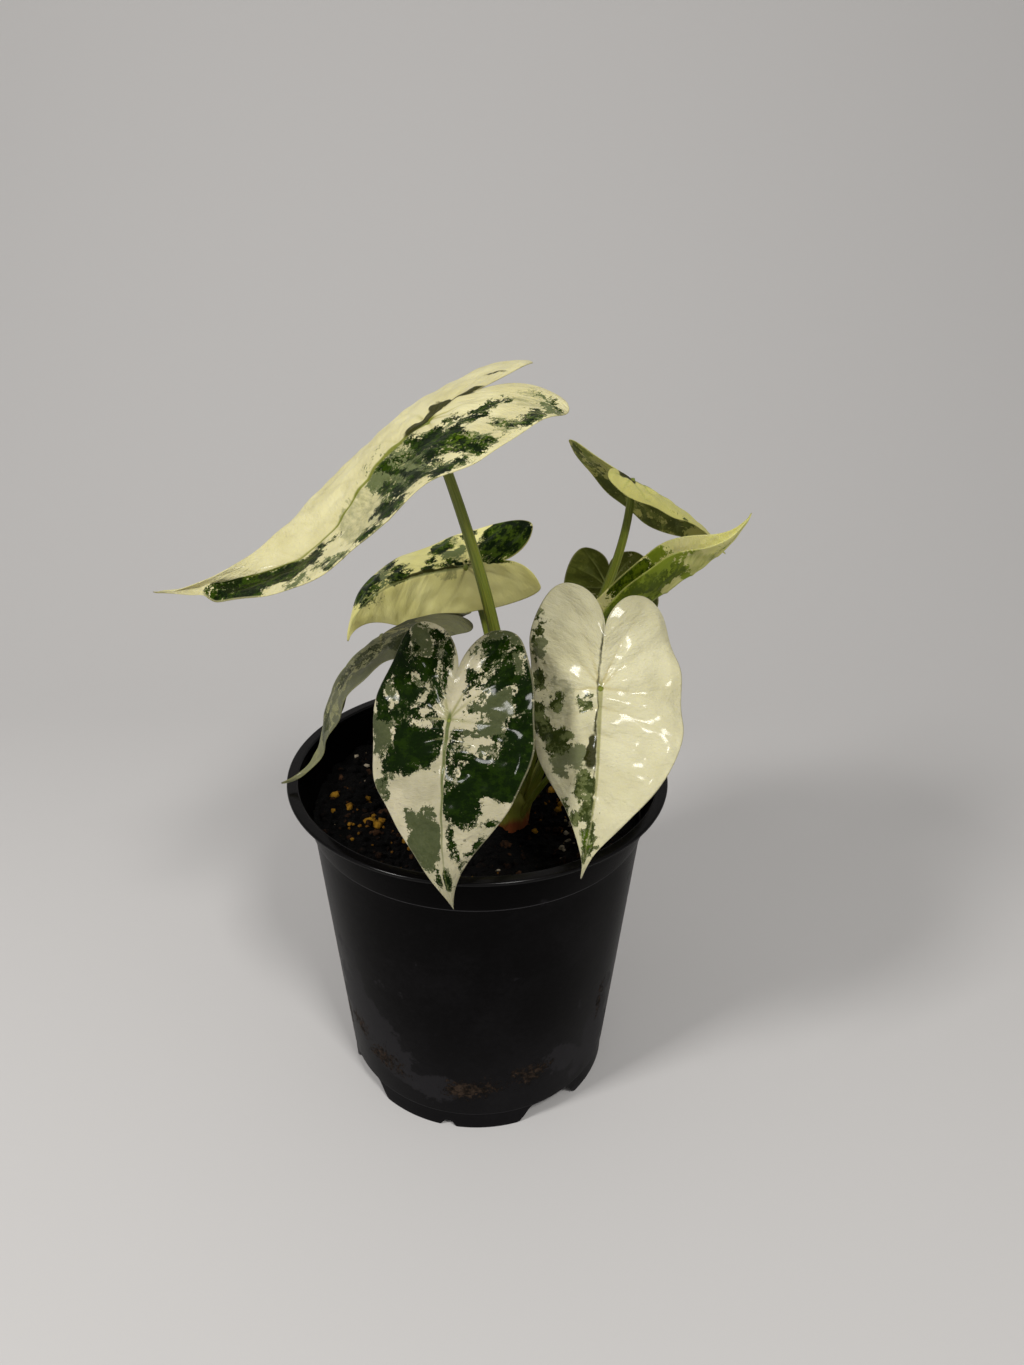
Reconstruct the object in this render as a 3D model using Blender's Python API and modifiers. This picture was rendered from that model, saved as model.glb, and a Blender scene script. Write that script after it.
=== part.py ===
"""Potted variegated alocasia: a nursery pot filled with soil, a short stem
with its petioles, and eight arrow-shaped leaf blades.

Units are metres and degrees, +Z is up, and +X is to the right of the
plant's front. The origin is on the pot's axis, on the surface it stands on.

Every blade is one formula with its own values. It is laid out flat first,
with u along the midrib (from the petiole's junction to the tip) and v
across it. The flat blade is then carried on a midrib that bends in space,
and its two halves fold and curl about it.
"""

import math

import bmesh
import bpy
import numpy as np

# The pot, turned about Z
POT_HEIGHT = 0.1538
RIM_RADIUS = 0.0825
RIM_WIDTH = 0.0050
RIM_DEPTH = 0.0014
COLLAR_TOP_RADIUS = 0.0785
COLLAR_FOOT_RADIUS = 0.0738
COLLAR_FOOT_HEIGHT = 0.1325
STEP = 0.0010
SKIRT_RADIUS = 0.0622
SKIRT_HEIGHT = 0.0093
FOOT_RADIUS = 0.0616
WALL = 0.0013
FLOOR_HEIGHT = 0.0095
FLOOR_THICKNESS = 0.0015
POT_STEPS = 48
SHARP_ANGLE = 35.0
POT_COLOUR = (0.018, 0.018, 0.019)

# Openings round the pot's foot, by the angle of each one's middle. They
# narrow upwards to a share of their width, and the drain holes are above them.
ARCH_ANGLES = (34.5, 124.5, 214.5, 304.5)
ARCH_WIDTH = 29.0
ARCH_HEIGHT = 0.0082
NICK_ANGLES = (79.5, 169.5, 259.5, 349.5)
NICK_WIDTH = 7.0
NICK_HEIGHT = 0.0030
OPENING_TOP_SHARE = 0.72
CUTTER_REACH = 0.0080
DRAIN_CIRCLE = 0.0440
DRAIN_RADIUS = 0.0055
DRAIN_STEPS = 16

# The soil, and the gap that touching pieces keep. Its top is heaped to the
# left and back, with low waves of two lengths each way.
GAP = 0.0003
SOIL_LEVEL = 0.1318
SOIL_SHOULDER = 0.1265
SOIL_HEAP = 0.0032
SOIL_BACK_SHARE = 0.5
SOIL_BUMP = 0.0010
LONG_WAVES = (0.0202, 0.0219)
SHORT_WAVES = (0.0120, 0.0157)
SHORT_WAVE_SHARE = 0.6
SOIL_RINGS = (0.0, 0.012, 0.024, 0.036, 0.047, 0.057, 0.066)
SOIL_COLOUR = (0.035, 0.022, 0.015)

# The stem: a stub with old leaf bases, rooted in a plain hole in the soil.
# Its outline runs down from its top: radius and height.
STEM_CENTRE = (0.0152, -0.0100)
STEM_OUTLINE = (
    (0.0, 0.1470), (0.0035, 0.1460), (0.0050, 0.1420), (0.0058, 0.1378),
    (0.0072, 0.1323), (0.0072, 0.1248), (0.0043, 0.1140), (0.0, 0.1120),
)
STEM_STEPS = 20
STEM_COLOUR = (0.23, 0.27, 0.05)

# The petioles: they thin upwards, and end under the blade in a narrow tip
PETIOLE_POINTS = 10
PETIOLE_TAPER = 0.8
TIP_SHARE = 0.55
SEAT_GAP = 0.00045

# The blades' thickness, their cross ribs and the steps along each rib
BLADE_THICKNESS = 0.0007
CROSS_RIBS = 13
CROSS_STEPS = 4
RIB_SPACING = 0.9
ROOT_SPACING = 1.25
MIDRIB_POINTS = 201

# A blade's outline: the share of it from the lobe's end to the widest place,
# and how far each of its curves leans on before it turns
WIDEST_SHARE = 0.42
LOBE_LEAN = 0.62
SHOULDER_LEAN = 0.55
FLANK_LEAN = 0.42
TIP_LEAN = 0.36
TIP_WIDTH = 0.10
SINUS_LEAN = 0.25
SINUS_MOUTH = 0.02
SINUS_FADE = 0.6

# Each blade: the junction's place; the length from junction to tip; how far
# the lobes and the sinus reach behind the junction; the half-width, where it
# is widest, and how far the lobe's end lies from the middle. The angles run
# from the lobes' end, through the junction, to the tip: heading about Z, rise
# above level, roll about the midrib, and each half's fold and curl.
LEAVES = {
    "leaf_tall_left": dict(
        junction=(-0.0157, -0.0264, 0.3080), length=0.118, lobe=0.047,
        sinus=0.0192, half_width=0.0442, widest_at=0.0173, lobe_offset=0.024,
        wider_right=1.06, heading=(194, 200, 204, 193, 198),
        rise=(-6, -34, -50, -18, 10), roll=(14, 9, -1, -1, 8),
        fold_right=(-9, -4, 9, 28, 42), fold_left=(-8, 0, 2, -2, -5),
        curl_right=(-13, -20, -14), curl_left=(26, 12, 13),
        colour=(0.50, 0.50, 0.30),
    ),
    "leaf_middle_left": dict(
        junction=(-0.007, 0.034, 0.234), length=0.068, lobe=0.030,
        sinus=0.018, half_width=0.0268, widest_at=0.031, lobe_offset=0.0145,
        wider_right=1.08,
        heading=(160, 170, 182, 194, 204), rise=(-20, -13, -17, -39, -84),
        roll=(34, 25, 15, 10, 0), fold_right=(8, 4, -4),
        fold_left=(-56, -66, -76), curl_right=(-16, -22, -26),
        curl_left=(-12, -10, -4),
        colour=(0.33, 0.36, 0.19),
    ),
    "leaf_front_dark": dict(
        junction=(-0.008, -0.057, 0.208), length=0.069, lobe=0.035,
        sinus=0.019, half_width=0.034, widest_at=0.008, lobe_offset=0.017,
        heading=(-108, -102, -92, -82, -52), rise=(-55, -53, -58, -64, -54),
        roll=(-2, -3, -10, -14, -14), fold_right=(-2, -8, -14),
        fold_left=(10, 8, 3), curl_right=(-22, -16, -14),
        curl_left=(2, 4, 3),
        colour=(0.14, 0.20, 0.09),
    ),
    "leaf_front_pale": dict(
        junction=(0.047, -0.049, 0.218), length=0.070, lobe=0.037,
        sinus=0.023, half_width=0.031, widest_at=0.011, lobe_offset=0.015,
        heading=(-100, -95, -92, -106, -120), rise=(-58, -56, -59, -61, -63),
        roll=(18, 0, -10, -9, -8), fold_right=(6, -16, -7),
        fold_left=(-10, -6, 3), curl_right=(-15, -24, -20),
        curl_left=(-20, -13, -10),
        colour=(0.55, 0.54, 0.34),
    ),
    "leaf_low_left": dict(
        junction=(-0.039, -0.007, 0.219), length=0.081, lobe=0.039,
        sinus=0.016, half_width=0.025, widest_at=0.014, lobe_offset=0.008,
        heading=(186, 196, 198, 198, 206), rise=(5, -28, -60, -76, -4),
        roll=(-4, -8, -10, -4, 10), fold_right=(-28, -28, -25),
        fold_left=(-18, -10, -6), curl_right=(-10, -10, -10),
        curl_left=(-10, -6, -2),
        colour=(0.17, 0.20, 0.13),
    ),
    "leaf_high_right": dict(
        junction=(0.061, 0.022, 0.277), length=0.052, lobe=0.028,
        sinus=0.008, half_width=0.018, widest_at=0.014, lobe_offset=0.007,
        shorter_right_lobe=0.38, heading=(0, -2, -2, 1, 6),
        rise=(-46, -28, -32, -42, -50), roll=(-10, -3, 9, 14, 16),
        fold_right=(-5, -7, -15), fold_left=(-36, -46, -54),
        curl_right=(-6, -5, -5), curl_left=(-6, -5, -6),
        colour=(0.44, 0.45, 0.21),
    ),
    "leaf_new_right": dict(
        junction=(0.052, -0.004, 0.218), length=0.076, lobe=0.014,
        sinus=0.008, half_width=0.017, widest_at=0.036, lobe_offset=0.006,
        wider_right=1.12, heading=(14, 10, 6, 2, -2),
        rise=(50, 46, 38, 38, 74), roll=(-10, -10, -10, -6, 0),
        fold_right=(40, 44, 42, 30), fold_left=(60, 62, 60, 46),
        curl_right=(40, 46, 40), curl_left=(20, 30, 30),
        colour=(0.28, 0.33, 0.10),
    ),
    "leaf_back": dict(
        junction=(0.0562, 0.0420, 0.2224), length=0.070, lobe=0.0196,
        sinus=0.0124, half_width=0.0205, widest_at=0.008, lobe_offset=0.0103,
        wider_right=1.1, heading=(76, 80, 84, 88, 90),
        rise=(-88, -66, -44, -36, -44), roll=(0, 0, 0, 0, 0),
        fold_right=(4, 4, 0), fold_left=(4, 4, 0),
        curl_right=(-10, -10, -10), curl_left=(-10, -10, -10),
        colour=(0.09, 0.13, 0.03),
    ),
}

# Each petiole: its foot in the stem, the two points that its curve leans
# towards, and its radius at the foot and under the blade
PETIOLES = {
    "leaf_tall_left": dict(
        foot=(0.013, -0.009, 0.128),
        leans=((0.019, -0.011, 0.198), (0.0006, -0.0240, 0.2610)),
        radii=(0.0032, 0.0017),
    ),
    "leaf_middle_left": dict(
        foot=(0.0145, -0.0085, 0.128),
        leans=((0.011, 0.019, 0.163), (0.005, 0.060, 0.191)),
        radii=(0.0021, 0.0013),
    ),
    "leaf_front_dark": dict(
        foot=(0.0130, -0.0120, 0.128),
        leans=((0.008, -0.022, 0.165), (-0.002, -0.044, 0.190)),
        radii=(0.0021, 0.0013),
    ),
    "leaf_front_pale": dict(
        foot=(0.017, -0.012, 0.132),
        leans=((0.025, -0.016, 0.156), (0.044, -0.036, 0.185)),
        radii=(0.0013, 0.0012),
    ),
    "leaf_low_left": dict(
        foot=(0.011, -0.009, 0.128),
        leans=((0.002, -0.008, 0.165), (-0.026, -0.004, 0.200)),
        radii=(0.0018, 0.0011),
    ),
    "leaf_high_right": dict(
        foot=(0.017, -0.008, 0.128),
        leans=((0.018, 0.002, 0.176), (0.064, 0.019, 0.228)),
        radii=(0.0031, 0.0015),
    ),
    "leaf_new_right": dict(
        foot=(0.018, -0.009, 0.128),
        leans=((0.026, -0.008, 0.160), (0.046, -0.007, 0.200)),
        radii=(0.0021, 0.0013),
    ),
    "leaf_back": dict(
        foot=(0.017, -0.007, 0.128),
        leans=((0.028, 0.008, 0.158), (0.049, 0.034, 0.190)),
        radii=(0.0017, 0.0011),
    ),
}


def clear_scene():
    for item in list(bpy.data.objects):
        bpy.data.objects.remove(item, do_unlink=True)


def new_collection(name):
    collection = bpy.data.collections.new(name)
    bpy.context.scene.collection.children.link(collection)
    return collection


def move_to(made, collection):
    for owner in list(made.users_collection):
        owner.objects.unlink(made)
    collection.objects.link(made)


def give_finish(made, name, colour, roughness):
    """A plain material of its own for one piece."""
    finish = bpy.data.materials.new(name)
    finish.use_nodes = True
    shader = finish.node_tree.nodes["Principled BSDF"]
    shader.inputs["Base Color"].default_value = (*colour, 1.0)
    shader.inputs["Roughness"].default_value = roughness
    shader.inputs["Metallic"].default_value = 0.0
    finish.diffuse_color = (*colour, 1.0)
    made.data.materials.append(finish)


def mesh_object(name, points, edges, faces, collection):
    mesh = bpy.data.meshes.new(name)
    mesh.from_pydata([tuple(point) for point in points], edges, faces)
    made = bpy.data.objects.new(name, mesh)
    collection.objects.link(made)
    return made


def turned(name, profile, steps, collection):
    """A profile of (radius, height) points in the XZ plane, turned about Z."""
    points = [(radius, 0.0, height) for radius, height in profile]
    edges = [(number, number + 1) for number in range(len(points) - 1)]
    made = mesh_object(name, points, edges, [], collection)
    screw = made.modifiers.new("turn", "SCREW")
    screw.steps = steps
    screw.render_steps = steps
    screw.use_merge_vertices = True
    screw.merge_threshold = 0.00001
    return made


def apply_modifiers(made):
    """Replace an object's mesh with what its modifiers make of it."""
    graph = bpy.context.evaluated_depsgraph_get()
    result = bpy.data.meshes.new_from_object(made.evaluated_get(graph))
    made.modifiers.clear()
    made.data = result


def cut(target, cutter):
    cutter.hide_render = True
    cutter.display_type = "WIRE"
    modifier = target.modifiers.new("cut", "BOOLEAN")
    modifier.operation = "DIFFERENCE"
    modifier.object = cutter
    modifier.solver = "EXACT"


def round_cutter(name, centre, radius, depth, steps, cutters):
    """An upright cylinder, with its middle at the given centre."""
    bpy.ops.mesh.primitive_cylinder_add(
        vertices=steps, radius=radius, depth=depth, location=centre)
    cutter = bpy.context.object
    cutter.name = name
    move_to(cutter, cutters)
    return cutter


def foot_cutter(name, angle, width, height, cutters):
    """A block across the foot's wall, which narrows upwards like a low arch.

    It reaches as far below the surface as above, where it is as much wider.
    """
    half = math.radians(width / 2)
    corners = (
        (-(2 - OPENING_TOP_SHARE), -height), (-OPENING_TOP_SHARE, height),
        (OPENING_TOP_SHARE, height), (2 - OPENING_TOP_SHARE, -height),
    )
    points = []
    for radius in (FOOT_RADIUS - CUTTER_REACH, FOOT_RADIUS + CUTTER_REACH):
        for side, level in corners:
            turn = math.radians(angle) + side * half
            points.append((radius * math.cos(turn), radius * math.sin(turn), level))
    faces = [(3, 2, 1, 0), (4, 5, 6, 7), (0, 1, 5, 4), (1, 2, 6, 5), (2, 3, 7, 6), (3, 0, 4, 7)]
    cutter = mesh_object(name, points, [], faces, cutters)
    mesh = bmesh.new()
    mesh.from_mesh(cutter.data)
    bmesh.ops.recalc_face_normals(mesh, faces=mesh.faces)
    mesh.to_mesh(cutter.data)
    mesh.free()
    return cutter


def wall_radius(height):
    """The pot's inner radius at a height below the collar."""
    share = (height - SKIRT_HEIGHT) / (COLLAR_FOOT_HEIGHT - STEP - SKIRT_HEIGHT)
    return SKIRT_RADIUS + share * (COLLAR_FOOT_RADIUS - STEP - SKIRT_RADIUS) - WALL


def make_pot(parts, cutters):
    """The pot: rim, conical collar, tapered wall, skirt and raised floor."""
    rim_foot = POT_HEIGHT - RIM_DEPTH
    floor_top = FLOOR_HEIGHT + FLOOR_THICKNESS
    body_top = COLLAR_FOOT_HEIGHT - STEP
    profile = [
        (0.0, floor_top),
        (wall_radius(floor_top), floor_top),
        (wall_radius(body_top), body_top),
        (COLLAR_FOOT_RADIUS - WALL, COLLAR_FOOT_HEIGHT + STEP),
        (COLLAR_TOP_RADIUS - WALL, rim_foot - STEP),
        (RIM_RADIUS - RIM_WIDTH, POT_HEIGHT - RIM_DEPTH / 2),
        (RIM_RADIUS - RIM_WIDTH + STEP / 2, POT_HEIGHT),
        (RIM_RADIUS - RIM_DEPTH / 3, POT_HEIGHT),
        (RIM_RADIUS, POT_HEIGHT - RIM_DEPTH / 3),
        (RIM_RADIUS, rim_foot),
        (COLLAR_TOP_RADIUS, rim_foot - STEP / 2),
        (COLLAR_FOOT_RADIUS, COLLAR_FOOT_HEIGHT),
        (COLLAR_FOOT_RADIUS - STEP, body_top),
        (SKIRT_RADIUS, SKIRT_HEIGHT),
        (FOOT_RADIUS, SKIRT_HEIGHT - STEP / 2),
        (FOOT_RADIUS, 0.0),
        (FOOT_RADIUS - WALL, 0.0),
        (FOOT_RADIUS - WALL, FLOOR_HEIGHT),
        (0.0, FLOOR_HEIGHT),
    ]
    pot = turned("pot", profile, POT_STEPS, parts)
    for number, angle in enumerate(ARCH_ANGLES):
        cut(pot, foot_cutter(f"arch_{number}", angle, ARCH_WIDTH, ARCH_HEIGHT, cutters))
    for number, angle in enumerate(NICK_ANGLES):
        cut(pot, foot_cutter(f"nick_{number}", angle, NICK_WIDTH, NICK_HEIGHT, cutters))
    for number, angle in enumerate(ARCH_ANGLES):
        turn = math.radians(angle)
        centre = (DRAIN_CIRCLE * math.cos(turn), DRAIN_CIRCLE * math.sin(turn), FLOOR_HEIGHT)
        cut(pot, round_cutter(f"drain_{number}", centre, DRAIN_RADIUS, 4 * FLOOR_THICKNESS,
                              DRAIN_STEPS, cutters))
    apply_modifiers(pot)
    pot.data.shade_smooth()
    pot.data.set_sharp_from_angle(angle=math.radians(SHARP_ANGLE))
    give_finish(pot, "pot_plastic", POT_COLOUR, 0.42)


def soil_height(x, y):
    """The soil's level at a place: the heap and the waves, added up."""
    heap = SOIL_HEAP * (SOIL_BACK_SHARE * y - x) / COLLAR_FOOT_RADIUS
    turn = 2 * math.pi
    waves = math.sin(turn * x / LONG_WAVES[0]) * math.cos(turn * y / LONG_WAVES[1])
    waves += SHORT_WAVE_SHARE * math.sin(turn * (x / SHORT_WAVES[0] - y / SHORT_WAVES[1]))
    return SOIL_LEVEL + heap + SOIL_BUMP * waves


def make_soil(parts, cutters):
    """The soil: it fills the pot, and its turned top is raised by a formula."""
    floor_top = FLOOR_HEIGHT + FLOOR_THICKNESS + GAP
    edge = wall_radius(SOIL_SHOULDER) - GAP
    profile = [(radius, SOIL_LEVEL) for radius in SOIL_RINGS]
    profile += [
        (edge, SOIL_LEVEL),
        (edge, SOIL_SHOULDER),
        (wall_radius(floor_top) - GAP, floor_top),
        (0.0, floor_top),
    ]
    soil = turned("soil", profile, POT_STEPS, parts)
    apply_modifiers(soil)
    for vertex in soil.data.vertices:
        if vertex.co.z > SOIL_LEVEL - GAP:
            vertex.co.z = soil_height(vertex.co.x, vertex.co.y)
    stem_radius = max(radius for radius, height in STEM_OUTLINE)
    depth = SOIL_LEVEL - STEM_OUTLINE[-1][1] + GAP
    hole = round_cutter("stem_hole", (*STEM_CENTRE, SOIL_LEVEL), stem_radius + 2 * GAP,
                        2 * depth, STEM_STEPS, cutters)
    cut(soil, hole)
    apply_modifiers(soil)
    soil.data.shade_smooth()
    give_finish(soil, "soil", SOIL_COLOUR, 0.95)


def bezier(a, b, c, d, share):
    """A cubic curve from point a to d, leaning towards b and c, at an array of shares."""
    share = np.asarray(share)[:, None]
    rest = 1 - share
    a, b, c, d = (np.array(point) for point in (a, b, c, d))
    return rest**3 * a + 3 * rest**2 * share * b + 3 * rest * share**2 * c + share**3 * d


def petiole_end(blade, lean, tip_radius):
    """A petiole's end: below the junction, midway between the two halves.

    It is as far down as keeps the end's ring clear of both lower faces.
    """
    here = np.array([0.0])
    right, up = (vector[0] for vector in midrib_frames(blade, here)[1:])
    fold_right = along(blade["fold_right"], blade, here)[0]
    fold_left = along(blade["fold_left"], blade, here)[0]
    junction = np.array(blade["junction"])
    approach = junction - np.array(lean)
    approach /= np.linalg.norm(approach)

    def direction(angle):
        return math.cos(math.radians(angle)) * right + math.sin(math.radians(angle)) * up

    needed = 0.0
    for facing in (fold_right - 90, -90 - fold_left):
        spread = math.sqrt(max(0.0, 1 - (approach @ direction(facing))**2))
        needed = max(needed, SEAT_GAP + BLADE_THICKNESS / 2 + tip_radius * spread)
    half_angle = min(90 + (fold_right + fold_left) / 2, 90)
    depth = needed / math.sin(math.radians(half_angle))
    return junction + depth * direction(-90 + (fold_right - fold_left) / 2)


def make_petiole(name, pieces):
    """One petiole: a round tube on a curve from the stem to its blade."""
    petiole = PETIOLES[name]
    foot_radius, top_radius = petiole["radii"]
    tip_radius = top_radius * TIP_SHARE
    end = petiole_end(LEAVES[name], petiole["leans"][1], tip_radius)
    share = np.linspace(0, 1, PETIOLE_POINTS)
    places = bezier(petiole["foot"], *petiole["leans"], end, share)
    radii = foot_radius + (top_radius - foot_radius) * share**PETIOLE_TAPER
    radii[-1] = tip_radius
    curve = bpy.data.curves.new(name + "_line", "CURVE")
    curve.dimensions = "3D"
    curve.bevel_depth = 1.0
    curve.bevel_resolution = 2
    curve.use_fill_caps = True
    line = curve.splines.new("POLY")
    line.points.add(PETIOLE_POINTS - 1)
    for knot, place, radius in zip(line.points, places, radii):
        knot.co = (*place, 1.0)
        knot.radius = radius
    tube = bpy.data.objects.new(name + "_tube", curve)
    pieces.objects.link(tube)
    graph = bpy.context.evaluated_depsgraph_get()
    mesh = bpy.data.meshes.new_from_object(tube.evaluated_get(graph))
    bpy.data.objects.remove(tube)
    welded = bmesh.new()
    welded.from_mesh(mesh)
    bmesh.ops.remove_doubles(welded, verts=welded.verts, dist=0.00002)
    bmesh.ops.recalc_face_normals(welded, faces=welded.faces)
    welded.to_mesh(mesh)
    welded.free()
    pieces.objects.link(bpy.data.objects.new(name + "_petiole", mesh))


def join_all(target, pieces):
    """One solid of the target and every object of a collection, which then goes."""
    join = target.modifiers.new("join", "BOOLEAN")
    join.operation = "UNION"
    join.operand_type = "COLLECTION"
    join.collection = pieces
    join.solver = "EXACT"
    apply_modifiers(target)
    for item in list(pieces.objects):
        bpy.data.objects.remove(item)
    bpy.data.collections.remove(pieces)


def make_stalks(parts):
    """The stem stub with all petioles grown from it, joined in one solid."""
    stem = turned("stem_and_petioles", STEM_OUTLINE, STEM_STEPS, parts)
    apply_modifiers(stem)
    for vertex in stem.data.vertices:
        vertex.co.x += STEM_CENTRE[0]
        vertex.co.y += STEM_CENTRE[1]
    pieces = new_collection("petioles")
    for name in PETIOLES:
        make_petiole(name, pieces)
    join_all(stem, pieces)
    stem.data.shade_smooth()
    give_finish(stem, "stem_green", STEM_COLOUR, 0.45)


def lobe_length(blade, side):
    return blade["lobe"] * (blade.get("shorter_right_lobe", 1.0) if side > 0 else 1.0)


def margin(blade, share, side):
    """The flat outer margin, from the lobe's end (0) to the tip (1)."""
    width = blade["half_width"] * (blade.get("wider_right", 1.0) if side > 0 else 1.0)
    lobe = lobe_length(blade, side)
    offset = blade["lobe_offset"]
    widest = blade["widest_at"]
    length = blade["length"]
    back = bezier((-lobe, offset), (-lobe, offset + LOBE_LEAN * (width - offset)),
                  (widest - SHOULDER_LEAN * (widest + lobe), width), (widest, width),
                  np.clip(share / WIDEST_SHARE, 0, 1))
    front = bezier((widest, width), (widest + FLANK_LEAN * (length - widest), width),
                   (length - TIP_LEAN * (length - widest), TIP_WIDTH * width), (length, 0.0),
                   np.clip((share - WIDEST_SHARE) / (1 - WIDEST_SHARE), 0, 1))
    return np.where((share < WIDEST_SHARE)[:, None], back, front)


def flat_half(blade, share, across, side):
    """One flat half as cross ribs from the midrib (0) to the margin (1).

    A rib runs straight, and the ribs near the sinus bend like its edge.
    """
    sinus = blade["sinus"]
    lobe = lobe_length(blade, side)
    offset = blade["lobe_offset"]
    outer = margin(blade, share, side)
    root = np.stack([-sinus + (blade["length"] + sinus) * share**ROOT_SPACING, 0 * share], -1)
    straight = root[:, None] * (1 - across)[None, :, None] + outer[:, None] * across[None, :, None]
    edge = bezier((-sinus, 0.0), (-sinus - SINUS_LEAN * (lobe - sinus), SINUS_MOUTH * offset),
                  (-lobe, SINUS_LEAN * offset), (-lobe, offset), across)
    chord = np.stack([-sinus * (1 - across) - lobe * across, offset * across], -1)
    near_sinus = np.clip(1 - share / SINUS_FADE, 0, 1)**2
    half = straight + near_sinus[:, None, None] * (edge - chord)[None]
    half[..., 1] *= side
    return half


def along(values, blade, u):
    """Blend values given from the lobes' end, through the junction, to the tip.

    The blend is smooth: each stretch is a cubic that passes through its two
    values and keeps the slope between their neighbours.
    """
    values = np.asarray(values, float)
    steps = len(values) - 2
    place = np.where(u < 0, 1 + np.maximum(u, -blade["lobe"]) / blade["lobe"],
                     1 + steps * np.clip(u / blade["length"], 0, 1))
    padded = np.concatenate(([2 * values[0] - values[1]], values, [2 * values[-1] - values[-2]]))
    index = np.clip(np.floor(place).astype(int), 0, steps)
    part = place - index
    a, b, c, d = (padded[index + shift] for shift in range(4))
    bend = 2 * a - 5 * b + 4 * c - d
    twist = 3 * (b - c) + d - a
    return b + 0.5 * part * (c - a + part * (bend + part * twist))


def midrib_frames(blade, u):
    """Unit vectors along the midrib, to its right and out of its upper face."""
    heading = np.radians(along(blade["heading"], blade, u))
    rise = np.radians(along(blade["rise"], blade, u))
    roll = np.radians(along(blade["roll"], blade, u))[:, None]
    forward = np.stack([np.cos(rise) * np.cos(heading), np.cos(rise) * np.sin(heading), np.sin(rise)], -1)
    level = np.stack([np.sin(heading), -np.cos(heading), 0 * heading], -1)
    upright = np.cross(level, forward)
    right = np.cos(roll) * level + np.sin(roll) * upright
    up = np.cos(roll) * upright - np.sin(roll) * level
    return forward, right, up


def place_blade(blade, flat):
    """Carry flat points (u, v) onto the bent midrib.

    The midrib's place is the sum of its forward vectors from the junction.
    Across it each half is an arc: it leaves at the fold angle and turns by
    the curl angle over the half-width.
    """
    u = np.linspace(-blade["lobe"], blade["length"], MIDRIB_POINTS)
    forward, right, up = midrib_frames(blade, u)
    steps = 0.5 * (forward[1:] + forward[:-1]) * np.diff(u)[:, None]
    line = np.concatenate([np.zeros((1, 3)), np.cumsum(steps, 0)])
    at_junction = np.array([np.interp(0.0, u, line[:, axis]) for axis in range(3)])
    line += np.array(blade["junction"]) - at_junction
    along_u = flat[:, 0]
    across = flat[:, 1]

    def read(table):
        return np.stack([np.interp(along_u, u, table[:, axis]) for axis in range(3)], -1)

    on_right = across >= 0
    fold = np.radians(np.where(on_right, along(blade["fold_right"], blade, along_u),
                               along(blade["fold_left"], blade, along_u)))
    curl = np.radians(np.where(on_right, along(blade["curl_right"], blade, along_u),
                               along(blade["curl_left"], blade, along_u)))
    distance = np.abs(across)
    half_turn = 0.5 * curl * distance / blade["half_width"]
    chord = distance * np.sinc(half_turn / np.pi)
    sideways = np.sign(across) * chord * np.cos(fold + half_turn)
    lifted = chord * np.sin(fold + half_turn)
    return read(line) + sideways[:, None] * read(right) + lifted[:, None] * read(up)


def make_blade(name, parts):
    """One blade: a triangulated sheet on the formula, thickened to both sides."""
    blade = LEAVES[name]
    share = np.linspace(0, 1, CROSS_RIBS)**RIB_SPACING
    across = np.linspace(0, 1, CROSS_STEPS + 1)
    left = flat_half(blade, share, across, -1)[:, ::-1]
    right = flat_half(blade, share, across, 1)[:, 1:]
    flat = np.concatenate([left, right], axis=1)
    rows, columns = flat.shape[:2]
    points = place_blade(blade, flat.reshape(-1, 2))
    quads = []
    for row in range(rows - 1):
        for column in range(columns - 1):
            corner = row * columns + column
            quads.append((corner, corner + 1, corner + columns + 1, corner + columns))
    made = mesh_object(name, points, [], quads, parts)
    sheet = bmesh.new()
    sheet.from_mesh(made.data)
    bmesh.ops.remove_doubles(sheet, verts=sheet.verts, dist=0.00005)
    bmesh.ops.triangulate(sheet, faces=sheet.faces)
    sheet.to_mesh(made.data)
    sheet.free()
    solidify = made.modifiers.new("thickness", "SOLIDIFY")
    solidify.thickness = BLADE_THICKNESS
    solidify.offset = 0.0
    made.data.shade_smooth()
    give_finish(made, name + "_skin", blade["colour"], 0.38)


def main():
    clear_scene()
    parts = new_collection("potted_alocasia")
    cutters = new_collection("cutters")
    make_pot(parts, cutters)
    make_soil(parts, cutters)
    make_stalks(parts)
    for name in LEAVES:
        make_blade(name, parts)


main()
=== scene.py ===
"""A potted variegated alocasia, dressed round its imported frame.

The sections follow the plant as it is put together: the nursery pot, the
soil, the stem with its petioles, the eight blades, and then the floor, the
light and the camera. Lengths are in metres, angles in degrees, +Z is up.
"""

import bmesh
import bpy
import numpy as np
from mathutils import Matrix


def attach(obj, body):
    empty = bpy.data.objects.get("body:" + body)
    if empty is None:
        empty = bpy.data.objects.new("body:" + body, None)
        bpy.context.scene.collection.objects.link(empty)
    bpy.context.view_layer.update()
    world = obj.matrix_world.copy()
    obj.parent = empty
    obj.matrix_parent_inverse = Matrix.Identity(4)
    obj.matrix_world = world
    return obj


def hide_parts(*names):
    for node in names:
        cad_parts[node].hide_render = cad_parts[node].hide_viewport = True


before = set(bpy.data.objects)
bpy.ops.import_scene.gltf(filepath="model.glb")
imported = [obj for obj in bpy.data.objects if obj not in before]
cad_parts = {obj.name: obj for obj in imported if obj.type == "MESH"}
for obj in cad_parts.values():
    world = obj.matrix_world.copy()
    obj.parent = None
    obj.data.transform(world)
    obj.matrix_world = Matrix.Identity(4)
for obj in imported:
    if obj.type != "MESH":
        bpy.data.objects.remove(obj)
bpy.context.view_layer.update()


# The nursery pot
# One moulding of black plastic: a flat rim, a conical collar, a tapered wall
# and a raised floor with drain holes, on a foot ring with low openings. Dust
# dulls it all over, and wet soil has dried on the lower wall.
POT_HEIGHT = 0.1538
RIM_RADIUS = 0.0825
RIM_WIDTH = 0.0050
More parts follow.
